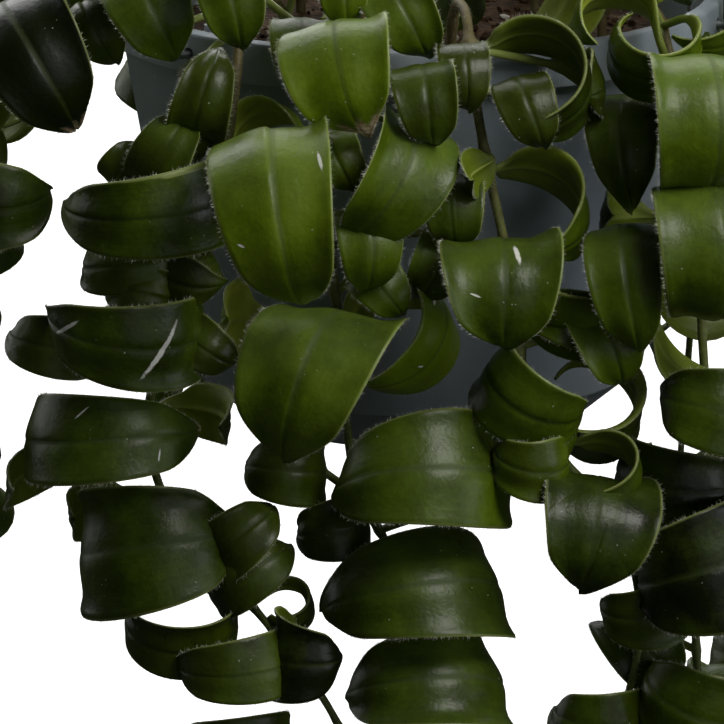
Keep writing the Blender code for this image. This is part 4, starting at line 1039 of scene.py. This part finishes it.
def lay_out():
    """All stems with their leaves, each clear of the rest."""
    layout = Layout()
    front, others, crown = [], [], []
    for name, points in FRONT_STEMS.items():
        front.append(Stem("stem_front_" + name, [Vector(p) * MM for p in points], 15))
    for name, (turn, out, foot) in OTHER_STEMS.items():
        draw = layout.draw
        sway = [draw.uniform(-4, 4) for _ in range(6)]
        inner = 44 + draw.uniform(-6, 4)
        shape = [(inner, 98), (58, 112), (74, 116), ((82 + out) / 2, 112), (out - 3, 92), (out, 58),
                 (out - 1, (50 + foot) / 2), (out - 4, foot)]
        points = []
        for k, (reach, height) in enumerate(shape):
            swing = sway[k - 3] if k > 2 else 0
            points.append(side_point(turn + swing, reach * MM, height * MM))
        others.append(Stem("stem_" + name, points, 13))
    for name, (turn, reach, rise) in CROWN_SHOOTS.items():
        shape = [(reach, 98), (reach + 2, 98 + rise * 0.5), (reach + 7, 98 + rise)]
        points = [side_point(turn, r * MM, h * MM) for r, h in shape]
        crown.append(Stem("stem_" + name, points, 6))
    layout.stems = front + others + crown
    for stem in front:
        for row in FRONT_LEAVES[stem.name.removeprefix("stem_front_")]:
            layout.front_leaf(row, stem)
    for stem in front + others + crown:
        grow(layout, stem)
    return layout


def grow(layout, stem):
    """Opposite pairs of leaves along a stem, smaller near its free end."""
    reach = 12 * MM
    heading = layout.draw.uniform(0, 180)
    while reach < stem.length - 3 * MM:
        share = reach / stem.length
        left = (stem.length - reach) / MM
        size = min(1.0, 0.42 + left / 75)
        place, _ = stem.at(share)
        kept = (stem.name.startswith("stem_front_") and FRONT_FOOT < place.z < FRONT_TOP
                and picture_place(place)[0] > 0)
        if not kept:
            for turn in (0, 180):
                layout.grown_leaf(stem, share, heading + turn, size)
        heading += 90 + layout.draw.uniform(-20, 20)
        reach += (PAIR_SPACING[0] + PAIR_SPACING[1] * size) * MM


# Leaves: thick waxy blades, each curled into a ring, with a sunken midrib, a keel below, a thick pale
# margin and a thin petiole. Glossy dark green above with a greyish painted sheen and small pale specks,
# and paler yellow-green below. Every stem and its leaves are one piece.
PETIOLE_ROWS = 7
BLADE_ROWS = {"front": 34, "other": 22}
LEAF_COLUMNS = {"front": 18, "other": 10}
# Half the petiole's thickness, the blade's at the midrib, the margin's bead, the midrib's groove and the
# keel below it (mm)
PETIOLE_THICK = 0.95
MIDRIB_THICK = 1.5
MARGIN_BEAD = 0.2
CREASE = 0.5
KEEL = 0.5
# Shares of the blade's half width: where the bead is and how wide, how wide the groove and the keel are,
# and how far the midrib wanders
BEAD_PLACE = 0.93
BEAD_WIDTH = 0.05
CREASE_WIDTH = 0.09
KEEL_WIDTH = 0.12
RIB_WANDER = 0.09
# A full-sized leaf's width, and the least half width of a blade (mm)
FULL_WIDTH = 22
LEAST_HALF = 0.3
# Spans of the slope of each half, of its flare at the margin (mm), and of its waves and where they start
TILTS = (-0.32, -0.1)
FLARES = (0.6, 3.0)
WAVES = (0.7, 1.5)
FULL_TURN = (0, 6.28)
# How far a leaf's lower margin stands out past its upper one (mm), for a leaf that curls sideways
CONES = (1.0, 3.0)
# How high the margin's waves are, and how far the blade twists at its tip (mm)
WAVE_HEIGHT = 0.8
TWIST = 0.8
# The stem's tube: its sides, the spacing of its rings, its radii at the foot and the end (mm), and its
# swelling at a leaf pair, as a share
TUBE_SIDES = 10
STEM_STEP = 2.2 * MM
STEM_BASE_RADIUS = 1.25
STEM_TIP_RADIUS = 0.85
NODE_SWELL = 0.3
# Hairs (mm). The real ones are thinner, and these are as thick as they need to be to show.
HAIR_LENGTHS = (0.5, 1.3)
HAIR_RADIUS = 0.038
HAIR_SPACING = {"front": 0.36, "other": 1.4}
STEM_HAIR_SPACING = 0.35
# The young pair at a stem's end: where it stands round the stem, how far before the end, and its size as
# a share. A leaf narrower than the second width is a lighter green, and most so at the first (mm).
YOUNG_HEADINGS = (40, 220)
YOUNG_BEFORE_END = 2.5 * MM
YOUNG_SIZE = 0.34
YOUNG_WIDTHS = (8, 20)
# What stands for no scar, and a place that is far from any scar
NO_SCARS = (None, None)
FAR = 9.0
# Leaves with dried ends: stem and row, and where along the blade the end starts
DRIED = {("stem_front_centre", 1): 0.86, ("stem_front_far_left", 0): 0.93, ("stem_front_left", 3): 0.95}
# Healed scratches: for a stem and row, where along the blade and across it (-1 to 1) each lies, its
# turn from the blade's way, its length and its width (mm)
SCARS = {
    ("stem_front_left", 1): ((0.36, -0.05, 124, 16, 1.4), (0.74, 0.2, 134, 11, 1.3)),
    ("stem_front_left", 3): ((0.45, 0.6, 40, 5, 0.5), (0.7, -0.5, 80, 4, 0.5)),
    ("stem_front_centre", 0): ((0.4, 0.82, 8, 6, 0.9), (0.62, -0.72, 60, 2, 0.7)),
    ("stem_front_centre", 5): ((0.45, 0.5, 20, 3.2, 1.1), (0.7, 0.2, 60, 2, 0.5)),
    ("stem_front_right_centre", 4): ((0.35, 0.25, 12, 6, 1.3), (0.6, -0.5, 70, 3, 0.5)),
}
# Leaves whose turned-up margin shows pale: stem and row, and the share of the blade's length that does
PALE_RIMS = {("stem_front_left", 0): 0.7}
# How much lighter or darker single front leaves are painted: stem, then a tone for each row. These are
# partly the leaves' own tone and partly painted shade and light: the leaves on the left and leaves lying in
# shade are painted darker, and a few shaded leaves are painted lighter. Other leaves have a tone from a
# span, at random.
OTHER_TONES = (-0.22, 0.1)
TONES_SHADE_AND_LIGHT = {
    "stem_front_far_left": (-0.85, -0.35, -0.4, -0.1),
    "stem_front_left": (
        -0.16, -0.2, -0.2, -0.2, -0.2, -0.16, -0.22, -0.25, -0.25, -0.35, -0.35, -0.28, -0.5, -0.3,
        -0.35, -0.3, -0.3, -0.3, -0.35, -0.1, -0.3, -0.3, -0.35, -0.45, -0.4, -0.3, -0.3),
    "stem_front_centre": (
        0.2, 0.2, 0, -0.02, 0.04, 0.35, 0.65, -0.3, -0.45, -0.06, -0.16, -0.16, 0, -0.2, -0.1, 0.2, -0.2,
        -0.2, -0.1),
    "stem_front_right_centre": (
        -0.4, -0.4, -0.06, -0.45, -0.1, 0, -0.1, -0.05, -0.15, 0, -0.2, -0.3, -0.3, -0.25, -0.2, -0.4,
        -0.4, -0.45, -0.2, -0.1),
    "stem_front_right": (
        0.1, 0.05, 0, 0.02, -0.1, -0.25, -0.1, -0.05, -0.15, -0.15, -0.35, -0.4, -0.25, -0.2, -0.15),
}


def leaf_template(rows, columns):
    """A leaf's closed skin, laid flat: points as (row, across from -1 to 1, 1 above or -1 below)."""
    bm = bmesh.new()
    bmesh.ops.create_grid(bm, x_segments=rows, y_segments=columns, size=1)
    bmesh.ops.solidify(bm, geom=bm.faces[:], thickness=0.5)
    bmesh.ops.recalc_face_normals(bm, faces=bm.faces[:])
    middle = sum(v.co.z for v in bm.verts) / len(bm.verts)
    points = np.array([(round((v.co.x + 1) / 2 * rows), v.co.y, 1 if v.co.z > middle else -1)
                       for v in bm.verts])
    points[:, 1] -= 0.6 * np.sin(2 * np.pi * points[:, 1]) / (2 * np.pi)
    bm.verts.index_update()
    faces = np.array([[v.index for v in f.verts] for f in bm.faces])
    under = np.array([1 if max(points[i, 2] for i in face) < 0 else 0 for face in faces])
    bm.free()
    return points, faces, under


def smooth_step(x, low, high):
    share = np.clip((x - low) / (high - low), 0, 1)
    return share * share * (3 - 2 * share)


def unit(ways):
    return ways / np.maximum(np.linalg.norm(ways, axis=-1, keepdims=True), 1e-12)


def leaf_path(leaf, root, blade_rows):
    """Points, ways, cross ways and upward ways along a leaf, with the share of the blade (< 0 before)."""
    base, start = leaf.midrib(0)[0], leaf.start_way()
    arm = (base - root).length
    second = root + (base - root) * 0.3
    third = base - start * arm * 0.42
    path, shares = [], []
    for k in range(PETIOLE_ROWS):
        u = k / PETIOLE_ROWS
        path.append(root * (1 - u) ** 3 + second * 3 * u * (1 - u) ** 2 + third * 3 * u * u * (1 - u)
                    + base * u**3)
        shares.append(u - 1)
    for k in range(blade_rows + 1):
        t = k / blade_rows
        path.append(leaf.midrib(t)[0])
        shares.append(t)
    path, shares = np.array(path), np.array(shares)
    ways = unit(np.gradient(path, axis=0))
    cross = np.tile(np.array(leaf.axis), (len(path), 1))
    cross -= ways * np.sum(cross * ways, axis=1)[:, None]
    cross = unit(cross)
    for k in range(PETIOLE_ROWS - 1, -1, -1):
        moved = cross[k + 1] - ways[k] * np.dot(cross[k + 1], ways[k])
        cross[k] = moved / np.linalg.norm(moved)
    above = np.cross(ways, cross) * (-1 if leaf.end > leaf.begin else 1)
    if np.dot(above[-1], np.array(leaf.midrib(1)[1])) < 0:
        above = -above
    return path, cross, above, shares


def shape_leaf(leaf, root, points, blade_rows, draw):
    """The leaf's points, its values along and across, and its two margins for the hairs."""
    path, cross, above, shares = leaf_path(leaf, root, blade_rows)
    row, v, side = points[:, 0].astype(int), points[:, 1], points[:, 2]
    t = shares[row]
    blade = np.clip(t, 0, 1)
    half = np.array([leaf.half_width(min(max(share, 0), 1)) / MM for share in shares])[row]
    spread = smooth_step(t, -0.28, 0.14)
    half = np.maximum(PETIOLE_THICK * (1 - spread) + half * spread, LEAST_HALF)
    size = leaf.width / MM / FULL_WIDTH
    full = np.clip(half / (0.5 * leaf.width / MM), 0, 1)
    edge = np.abs(v)
    thick = MIDRIB_THICK * 0.5 * (1 - 0.38 * edge**1.5)
    thick += MARGIN_BEAD * np.exp(-((edge - BEAD_PLACE) / BEAD_WIDTH) ** 2)
    thick *= np.sqrt(1.03 - edge**16) * (0.35 + 0.65 * full**0.5) * (0.6 + 0.4 * size)
    thick = spread * thick + (1 - spread) * PETIOLE_THICK * np.sqrt(1.02 - edge**2)
    fade = spread * np.clip((1 - blade) * 6, 0, 1)
    middle = RIB_WANDER * np.sin(draw.uniform(1.5, 3.5) * t + draw.uniform(*FULL_TURN)) * (1 - edge)
    rib = -CREASE * np.exp(-np.abs(v - middle) / CREASE_WIDTH) * fade
    rib = np.where(side > 0, rib, rib - KEEL * np.exp(-(v / KEEL_WIDTH) ** 2) * fade)
    tilts, flares, turns, starts = ([draw.uniform(*span) for _ in range(2)]
                                    for span in (TILTS, FLARES, WAVES, FULL_TURN))
    tilt, flare, turn, start = (np.where(v > 0, *pair) for pair in (tilts, flares, turns, starts))
    wave = np.sin(2 * np.pi * turn * t + start) * edge**2 * WAVE_HEIGHT * size
    twist = draw.uniform(-TWIST, TWIST) * v * smooth_step(t, 0.4, 1)
    slope = half * tilt * (np.sqrt(edge * edge + 0.05) - 0.4)
    outer = (np.clip(edge - 0.5, 0, 1) / 0.5) ** 2
    flared = flare * size * full * outer * (0.8 + 0.4 * np.sin(3 * t + start))
    cone = -draw.uniform(*CONES) * size * cross[row][:, 2] * v * full
    lift = (wave + twist + slope + flared + cone) * spread + rib
    offset = (lift + side * thick) * MM
    made = path[row] + cross[row] * (v * half * MM)[:, None] + above[row] * offset[:, None]
    rims = []
    for sign in (-1, 1):
        chosen = [i for i in np.argsort(points[:, 0], kind="stable")
                  if side[i] > 0 and abs(v[i] - sign) < 0.01 and t[i] > -0.3]
        rims.append((made[chosen], cross[row[chosen]] * sign, above[row[chosen]]))
    return made, t, v, np.abs(v - middle), rims


def hairs_along(rim, spacing, draw):
    """Hair roots and ends along a leaf's margin, fanned out from it."""
    line, away, above = rim
    reach = np.concatenate(([0], np.cumsum(np.linalg.norm(np.diff(line, axis=0), axis=1))))
    count = int(reach[-1] / MM / spacing)
    found = []
    for _ in range(count):
        k = np.searchsorted(reach, draw.uniform(0, reach[-1])) - 1
        k = min(max(k, 0), len(line) - 2)
        share = draw.random()
        root = line[k] * (1 - share) + line[k + 1] * share
        way = unit(line[k + 1] - line[k]) * draw.uniform(-0.5, 0.5)
        way = unit(away[k] * 0.8 + above[k] * draw.uniform(-0.7, 0.9) + way)
        found.append((root - away[k] * 0.1 * MM, way * draw.uniform(*HAIR_LENGTHS) * MM))
    return found


def hairs_round(line, radius, spacing, draw):
    """Hair roots and ends all round a stem."""
    found = []
    for a, b in zip(line, line[1:]):
        way = unit(b - a)
        for _ in range(int(np.linalg.norm(b - a) / MM / spacing)):
            out = np.array([draw.uniform(-1, 1) for _ in range(3)])
            out = unit(out - way * np.dot(out, way))
            root = a + (b - a) * draw.random() + out * radius * MM * 0.9
            lean = unit(out + way * draw.uniform(-0.5, 0.5))
            found.append((root, lean * draw.uniform(*HAIR_LENGTHS) * MM))
    return found


def hair_mesh(name, hairs):
    """Fine spikes, each of four faces."""
    roots = np.array([root for root, _ in hairs])
    ways = np.array([way for _, way in hairs])
    first = unit(np.cross(ways, (0.31, 0.52, 0.8)))
    second = unit(np.cross(ways, first))
    points = np.empty((len(hairs), 4, 3))
    for k in range(3):
        turn = 2 * math.pi * k / 3
        points[:, k] = roots + (first * math.cos(turn) + second * math.sin(turn)) * HAIR_RADIUS * MM
    points[:, 3] = roots + ways
    faces = np.array(((0, 1, 3), (1, 2, 3), (2, 0, 3), (2, 1, 0)))
    faces = (faces[None] + 4 * np.arange(len(hairs))[:, None, None]).reshape(-1, 3)
    mesh = bpy.data.meshes.new(name)
    mesh.from_pydata(points.reshape(-1, 3).tolist(), [], faces.tolist())
    return mesh


def stem_tube(stem, draw):
    """The tube of a stem with swollen nodes and a small bud at its end, and its smooth middle line."""
    count = int(stem.length / STEM_STEP) + 1
    line = smooth_route(stem.points, count)
    roots = [min(range(count), key=lambda k: (line[k] - leaf.root).length) for leaf in stem.leaves]
    line_points = np.array([stem.root, stem.root.lerp(line[0], 0.5)] + line)
    reach = np.arange(len(line_points)) / (len(line_points) - 1)
    radius = (STEM_BASE_RADIUS + (STEM_TIP_RADIUS - STEM_BASE_RADIUS) * reach) * MM
    for k in roots:
        away = np.abs(np.arange(len(line_points)) - (k + 2)) * STEM_STEP / MM
        radius = np.maximum(radius, radius * (1 + NODE_SWELL * np.exp(-(away / 1.8) ** 2)))
    radius[-1] *= 0.25
    radius[-2] *= 0.8
    ways = unit(np.gradient(line_points, axis=0))
    across = np.zeros_like(ways)
    last = np.array((1.0, 0, 0))
    for k, way in enumerate(ways):
        last = last - way * np.dot(last, way)
        last /= np.linalg.norm(last)
        across[k] = last
    other = np.cross(ways, across)
    points, faces = [], []
    for k in range(len(line_points)):
        for i in range(TUBE_SIDES):
            turn = 2 * math.pi * i / TUBE_SIDES
            rough = radius[k] * (1 + 0.05 * draw.uniform(-1, 1))
            points.append(line_points[k] + (across[k] * math.cos(turn) + other[k] * math.sin(turn)) * rough)
    last = TUBE_SIDES * (len(line_points) - 1)
    foot, end = len(points), len(points) + 1
    points += [line_points[0], line_points[-1]]
    for i in range(TUBE_SIDES):
        j = (i + 1) % TUBE_SIDES
        faces += [(k + i, k + j, k + TUBE_SIDES + j, k + TUBE_SIDES + i) for k in range(0, last, TUBE_SIDES)]
        faces += [(foot, j, i), (end, last + i, last + j)]
    along = np.append(np.repeat(reach, TUBE_SIDES), (0, 1))
    return np.array(points), faces, along, [line[k] for k in roots], line_points


def scar_values(t, v, leaf, scar):
    """How far each point is from a scar's middle, across it and along it, as shares of its half sizes."""
    if not scar:
        return np.full(len(t), FAR), np.full(len(t), FAR)
    place, beside, turn, length, wide = scar
    reach = leaf.radius / MM * math.radians(abs(leaf.end - leaf.begin))
    run, off = (t - place) * reach, (v - beside) * leaf.width / MM / 2
    c, s = math.cos(math.radians(turn)), math.sin(math.radians(turn))
    return (off * c - run * s) / (wide / 2), (run * c + off * s) / (length / 2)


layout = lay_out()
# Young pairs of leaves at the stems' free ends
for stem in layout.stems:
    for heading in YOUNG_HEADINGS:
        layout.grown_leaf(stem, 1 - YOUNG_BEFORE_END / stem.length, heading, YOUNG_SIZE)
templates = {kind: leaf_template(PETIOLE_ROWS + BLADE_ROWS[kind], LEAF_COLUMNS[kind])
             for kind in BLADE_ROWS}
leaf_hairs, stem_hairs = [], []

# The leaf's finish: soft areas of light and dark, fine mottling, shallow dents, and clusters of skin
# cells, because single cells are too fine to show
AREA_SIZE = 14.3 * MM
MOTTLE_GRAIN = 1.11 * MM
DENT_SIZE = 4.17 * MM
CELL_SIZE = 0.909 * MM
# Streaks across half a blade (about one in 0.6 mm), along its length (one in 15 mm) and for a tone step
STREAKS = (17.6, 6.4, 48)
BARK_SIZE = 3.85 * MM
# Deep green with soft lighter and darker areas above, yellow-green and duller below; the darkest greens take
# the painted shade of single leaves. Both sides have a paler margin, a midrib line that above is painted
# shade in its groove and below is paler, greyish painted sheen where they face upwards and in broad
# patches, specks, scars and dried ends.
LEAF_SIDES = {
    "waxy_leaf_upper_side": {
        "greens": ((0, "#151c02"), (0.3, "#3a4b04"), (0.55, "#546a08"), (0.85, "#728a12")),
        # Above, the darker midrib colour is painted shade in its groove
        "young": "#8ba02c", "margin": "#b4bf74", "midrib": "#34430a", "painted_sheen": "#687a4c",
        "gloss": (0.25, 0.4), "specular": 0.42, "depth": 0.08},
    "waxy_leaf_underside": {
        "greens": ((0.1, "#5f7014"), (0.5, "#869728"), (0.85, "#a8b53e")),
        "young": None, "margin": "#b9c27c", "midrib": "#a5b25a", "painted_sheen": "#8f9a62",
        "gloss": (0.46, 0.62), "specular": 0.3, "depth": 0.15},
}
finishes = []
for name, own in LEAF_SIDES.items():
    finish, tree, shader, place = new_material(name)
    finishes.append(finish)
    tone, young, dry, across, along = (
        add(tree, "Attribute", {}, "Fac", attribute_name=value)
        for value in ("tone", "young", "dry", "across", "along"))
    broad = add(tree, "TexNoise", {"Vector": place, "Scale": 1 / AREA_SIZE, "Detail": 4, "Roughness": 0.55})
    fine = add(tree, "TexNoise", {"Vector": place, "Scale": 1 / MOTTLE_GRAIN, "Detail": 5, "Roughness": 0.65})
    cells = add(tree, "TexVoronoi", {"Vector": place, "Scale": 1 / CELL_SIZE})
    dents = add(tree, "TexNoise", {"Vector": place, "Scale": 1 / DENT_SIZE, "Detail": 2})
    leaf_place = add(tree, "CombineXYZ", {
        axis: add(tree, "Math", {0: value, 1: count}, operation="MULTIPLY")
        for axis, value, count in zip("XYZ", (across, along, tone), STREAKS)})
    streaks = add(tree, "TexNoise", {"Vector": leaf_place, "Scale": 1, "Detail": 4, "Roughness": 0.7})
    # The share of light green: the leaf's own tone, with painted shade and light on single front leaves,
    # broad and fine mottling, and streaks along the blade
    shade = add(tree, "Math", {0: broad, 1: 0.12}, operation="SUBTRACT")
    streaks = add(tree, "Math", {0: streaks, 1: 0.5}, operation="SUBTRACT")
    for value, factor in ((fine, 0.25), (tone, 0.5), (streaks, 0.2)):
        shade = add(tree, "Math", {0: value, 1: factor, 2: shade}, operation="MULTIPLY_ADD")
    body = add(tree, "ValToRGB", {"Fac": shade}, stops=own["greens"])
    if own["young"]:
        youth = add(tree, "Math", {0: young, 1: 0.18}, operation="MULTIPLY")
        body = add(tree, "Mix", {0: youth, 6: body, 7: own["young"]}, 2, data_type="RGBA")
    margin = add(tree, "ValToRGB", {"Fac": across}, stops=((0.95, 0), (0.99, 0.5)))
    # The midrib line: above, painted shade in the groove; below, a paler rib
    midrib = add(tree, "ValToRGB", {"Fac": across}, stops=((0.02, 0.55), (0.08, 0)))
    # Painted sheen: a greyish tint on what faces upwards and in broad patches, and less on dark leaves
    normal = add(tree, "TexCoord", {}, "Normal")
    facing = add(tree, "Math", {
        0: broad, 1: 0.5, 2: add(tree, "SeparateXYZ", {"Vector": normal}, "Z")}, operation="MULTIPLY_ADD")
    painted_sheen_share = add(tree, "Math", {
        0: add(tree, "ValToRGB", {"Fac": facing}, stops=((0.45, 0), (1.05, 0.22))),
        1: add(tree, "ValToRGB", {"Fac": broad}, stops=((0.55, 0), (0.8, 0.22)))}, operation="MAXIMUM")
    light = add(tree, "Math", {0: tone, 1: 1, 2: 0.9}, operation="MULTIPLY_ADD", use_clamp=True)
    painted_sheen = add(tree, "Math", {0: painted_sheen_share, 1: light}, operation="MULTIPLY")
    petiole = add(tree, "ValToRGB", {"Fac": along}, stops=((0.18, 0.85), (0.3, 0)))
    speck = add(tree, "Math", {
        0: add(tree, "ValToRGB", {"Fac": cells}, stops=((0.16, 1), (0.24, 0))),
        1: add(tree, "ValToRGB", {"Fac": cells.node.outputs["Color"]}, stops=((0.89, 0), (0.92, 0.6))),
    }, operation="MULTIPLY")
    layers = [(midrib, own["midrib"]), (margin, own["margin"]), (painted_sheen, own["painted_sheen"]),
              (petiole, "#8f9c52"), (speck, "#d9dcc8")]
    for which in ("first", "second"):
        off, run = (add(tree, "Attribute", {}, "Fac", attribute_name=f"{which}_scar_{way}")
                    for way in ("off", "run"))
        near = add(tree, "Math", {0: run, 1: run}, operation="MULTIPLY")
        near = add(tree, "Math", {0: off, 1: off, 2: near}, operation="MULTIPLY_ADD")
        near = add(tree, "Math", {0: fine, 1: 1.6, 2: near}, operation="MULTIPLY_ADD")
        near = add(tree, "Math", {0: near, 1: 0.25}, operation="MULTIPLY")
        layers.append((add(tree, "ValToRGB", {"Fac": near}, stops=((0.32, 1), (0.46, 0))), "#f4f4ea"))
    layers.append((dry, add(tree, "ValToRGB", {"Fac": fine}, stops=((0.35, "#8f6c3c"), (0.6, "#efdcb6")))))
    for share, colour in layers:
        body = add(tree, "Mix", {0: share, 6: body, 7: colour}, 2, data_type="RGBA")
    # Wax is glossy, and the dried ends and the midrib's groove are dull
    low, high = own["gloss"]
    wax = add(tree, "ValToRGB", {"Fac": broad}, stops=((0.3, low), (0.7, high)))
    dull = add(tree, "Math", {0: dry, 1: midrib}, operation="MAXIMUM")
    relief = add(tree, "Math", {0: cells, 1: 0.15, 2: fine}, operation="MULTIPLY_ADD")
    relief = add(tree, "Math", {0: dents, 1: 2.2, 2: relief}, operation="MULTIPLY_ADD")
    fill(tree, shader, {
        "Base Color": body,
        "Roughness": add(tree, "Mix", {0: dull, 6: wax, 7: "#dddddd"}, 2, data_type="RGBA"),
        "Normal": add(tree, "Bump", {"Height": relief, "Strength": 0.35, "Distance": 0.25 * MM}),
        "IOR": 1.46, "Specular IOR Level": own["specular"], "Subsurface Weight": own["depth"],
        "Subsurface Radius": (0.4 * MM, 0.9 * MM, 0.15 * MM), "Subsurface Scale": 1})

# The stem's skin is green near its end, with brownish-grey bark lower down
green_stem, tree, shader, place = new_material("trailing_stem")
finishes.append(green_stem)
along = add(tree, "Attribute", {}, "Fac", attribute_name="along")
bark = add(tree, "TexNoise", {"Vector": place, "Scale": 1 / BARK_SIZE, "Detail": 6, "Roughness": 0.7})
fresh = add(tree, "ValToRGB", {"Fac": bark}, stops=((0.3, "#4a5820"), (0.7, "#7d8a46")))
woody = add(tree, "ValToRGB", {"Fac": bark}, stops=((0.3, "#453a22"), (0.7, "#7f7448")))
age = add(tree, "Math", {0: bark, 1: 0.4, 2: along}, operation="MULTIPLY_ADD")
age = add(tree, "ValToRGB", {"Fac": age}, stops=((0.35, 1), (0.75, 0)))
fill(tree, shader, {
    "Base Color": add(tree, "Mix", {0: age, 6: fresh, 7: woody}, 2, data_type="RGBA"),
    "Roughness": 0.6,
    "Normal": add(tree, "Bump", {"Height": bark, "Strength": 0.6, "Distance": 0.3 * MM})})

for stem in layout.stems:
    draw = random.Random("fine " + stem.name)
    points, faces, along, roots, line = stem_tube(stem, draw)
    stem_hairs += hairs_round(line[2:], STEM_TIP_RADIUS * 1.2, STEM_HAIR_SPACING, draw)
    all_points, all_faces, kinds = [points], list(faces), [2] * len(faces)
    total = len(points)
    plain = {"tone": 0, "young": 0, "dry": 0, "across": 0.5, "first_scar_off": FAR, "first_scar_run": FAR,
             "second_scar_off": FAR, "second_scar_run": FAR}
    values = {name: [np.full(total, value)] for name, value in plain.items()}
    values["along"] = [along]
    for number, (leaf, root) in enumerate(zip(stem.leaves, roots)):
        mark = (stem.name, number)
        kind = "front" if len(leaf.stations) == len(FRONT_STATIONS) else "other"
        made, t, v, across, rims = shape_leaf(leaf, root, templates[kind][0], BLADE_ROWS[kind], draw)
        all_points.append(made)
        all_faces += (templates[kind][1] + total).tolist()
        kinds += templates[kind][2].tolist()
        total += len(made)
        # A front leaf's tone holds painted shade and light; the other leaves' tone is random
        row_tones_shade_and_light = TONES_SHADE_AND_LIGHT.get(stem.name, ())
        tone = row_tones_shade_and_light[number] if number < len(row_tones_shade_and_light) else draw.uniform(*OTHER_TONES)
        least, grown = YOUNG_WIDTHS
        small = min(max((grown - leaf.width / MM) / (grown - least), 0), 1)
        dry_from = DRIED.get(mark, 2)
        pale_end = PALE_RIMS.get(mark)
        if pale_end:
            upwards = v * math.copysign(1, leaf.axis[2])
            across = np.maximum(across, 0.99 * smooth_step(upwards - 0.4 * t / pale_end, 0.5, 0.62))
        new = {"tone": np.full(len(made), 2 * tone), "young": np.full(len(made), small),
               "dry": smooth_step(t + 0.03 * np.sin(9 * v), dry_from - 0.02, dry_from + 0.03),
               "across": across, "along": np.clip((t + 1) * 0.25, 0, 1) + np.clip(t, 0, 1) * 0.5}
        for which, scar in zip(("first", "second"), SCARS.get(mark, NO_SCARS)):
            new[which + "_scar_off"], new[which + "_scar_run"] = scar_values(t, v, leaf, scar)
        for name, value in new.items():
            values[name].append(value)
        for rim in rims:
            leaf_hairs += hairs_along(rim, HAIR_SPACING[kind], draw)
    mesh = bpy.data.meshes.new(stem.name + "_fine")
    mesh.from_pydata(np.concatenate(all_points).tolist(), [], all_faces)
    mesh.polygons.foreach_set("material_index", kinds)
    for name, parts in values.items():
        layer = mesh.attributes.new(name, "FLOAT", "POINT")
        layer.data.foreach_set("value", np.concatenate(parts).astype(np.float32))
    mesh.shade_smooth()
    piece = link_mesh(stem.name + "_fine", mesh, *finishes)
    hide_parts(stem.name)

# Hairs: short, pale and silky, along the leaves' margins and round the stems
pale_hair, tree, shader, place = new_material("pale_plant_hair")
fill(tree, shader, {"Base Color": "#f0f2e2", "Roughness": 0.5})
for name, hairs in (("leaf_hairs", leaf_hairs), ("stem_hairs", stem_hairs)):
    fuzz = link_mesh(name, hair_mesh(name, hairs), pale_hair)
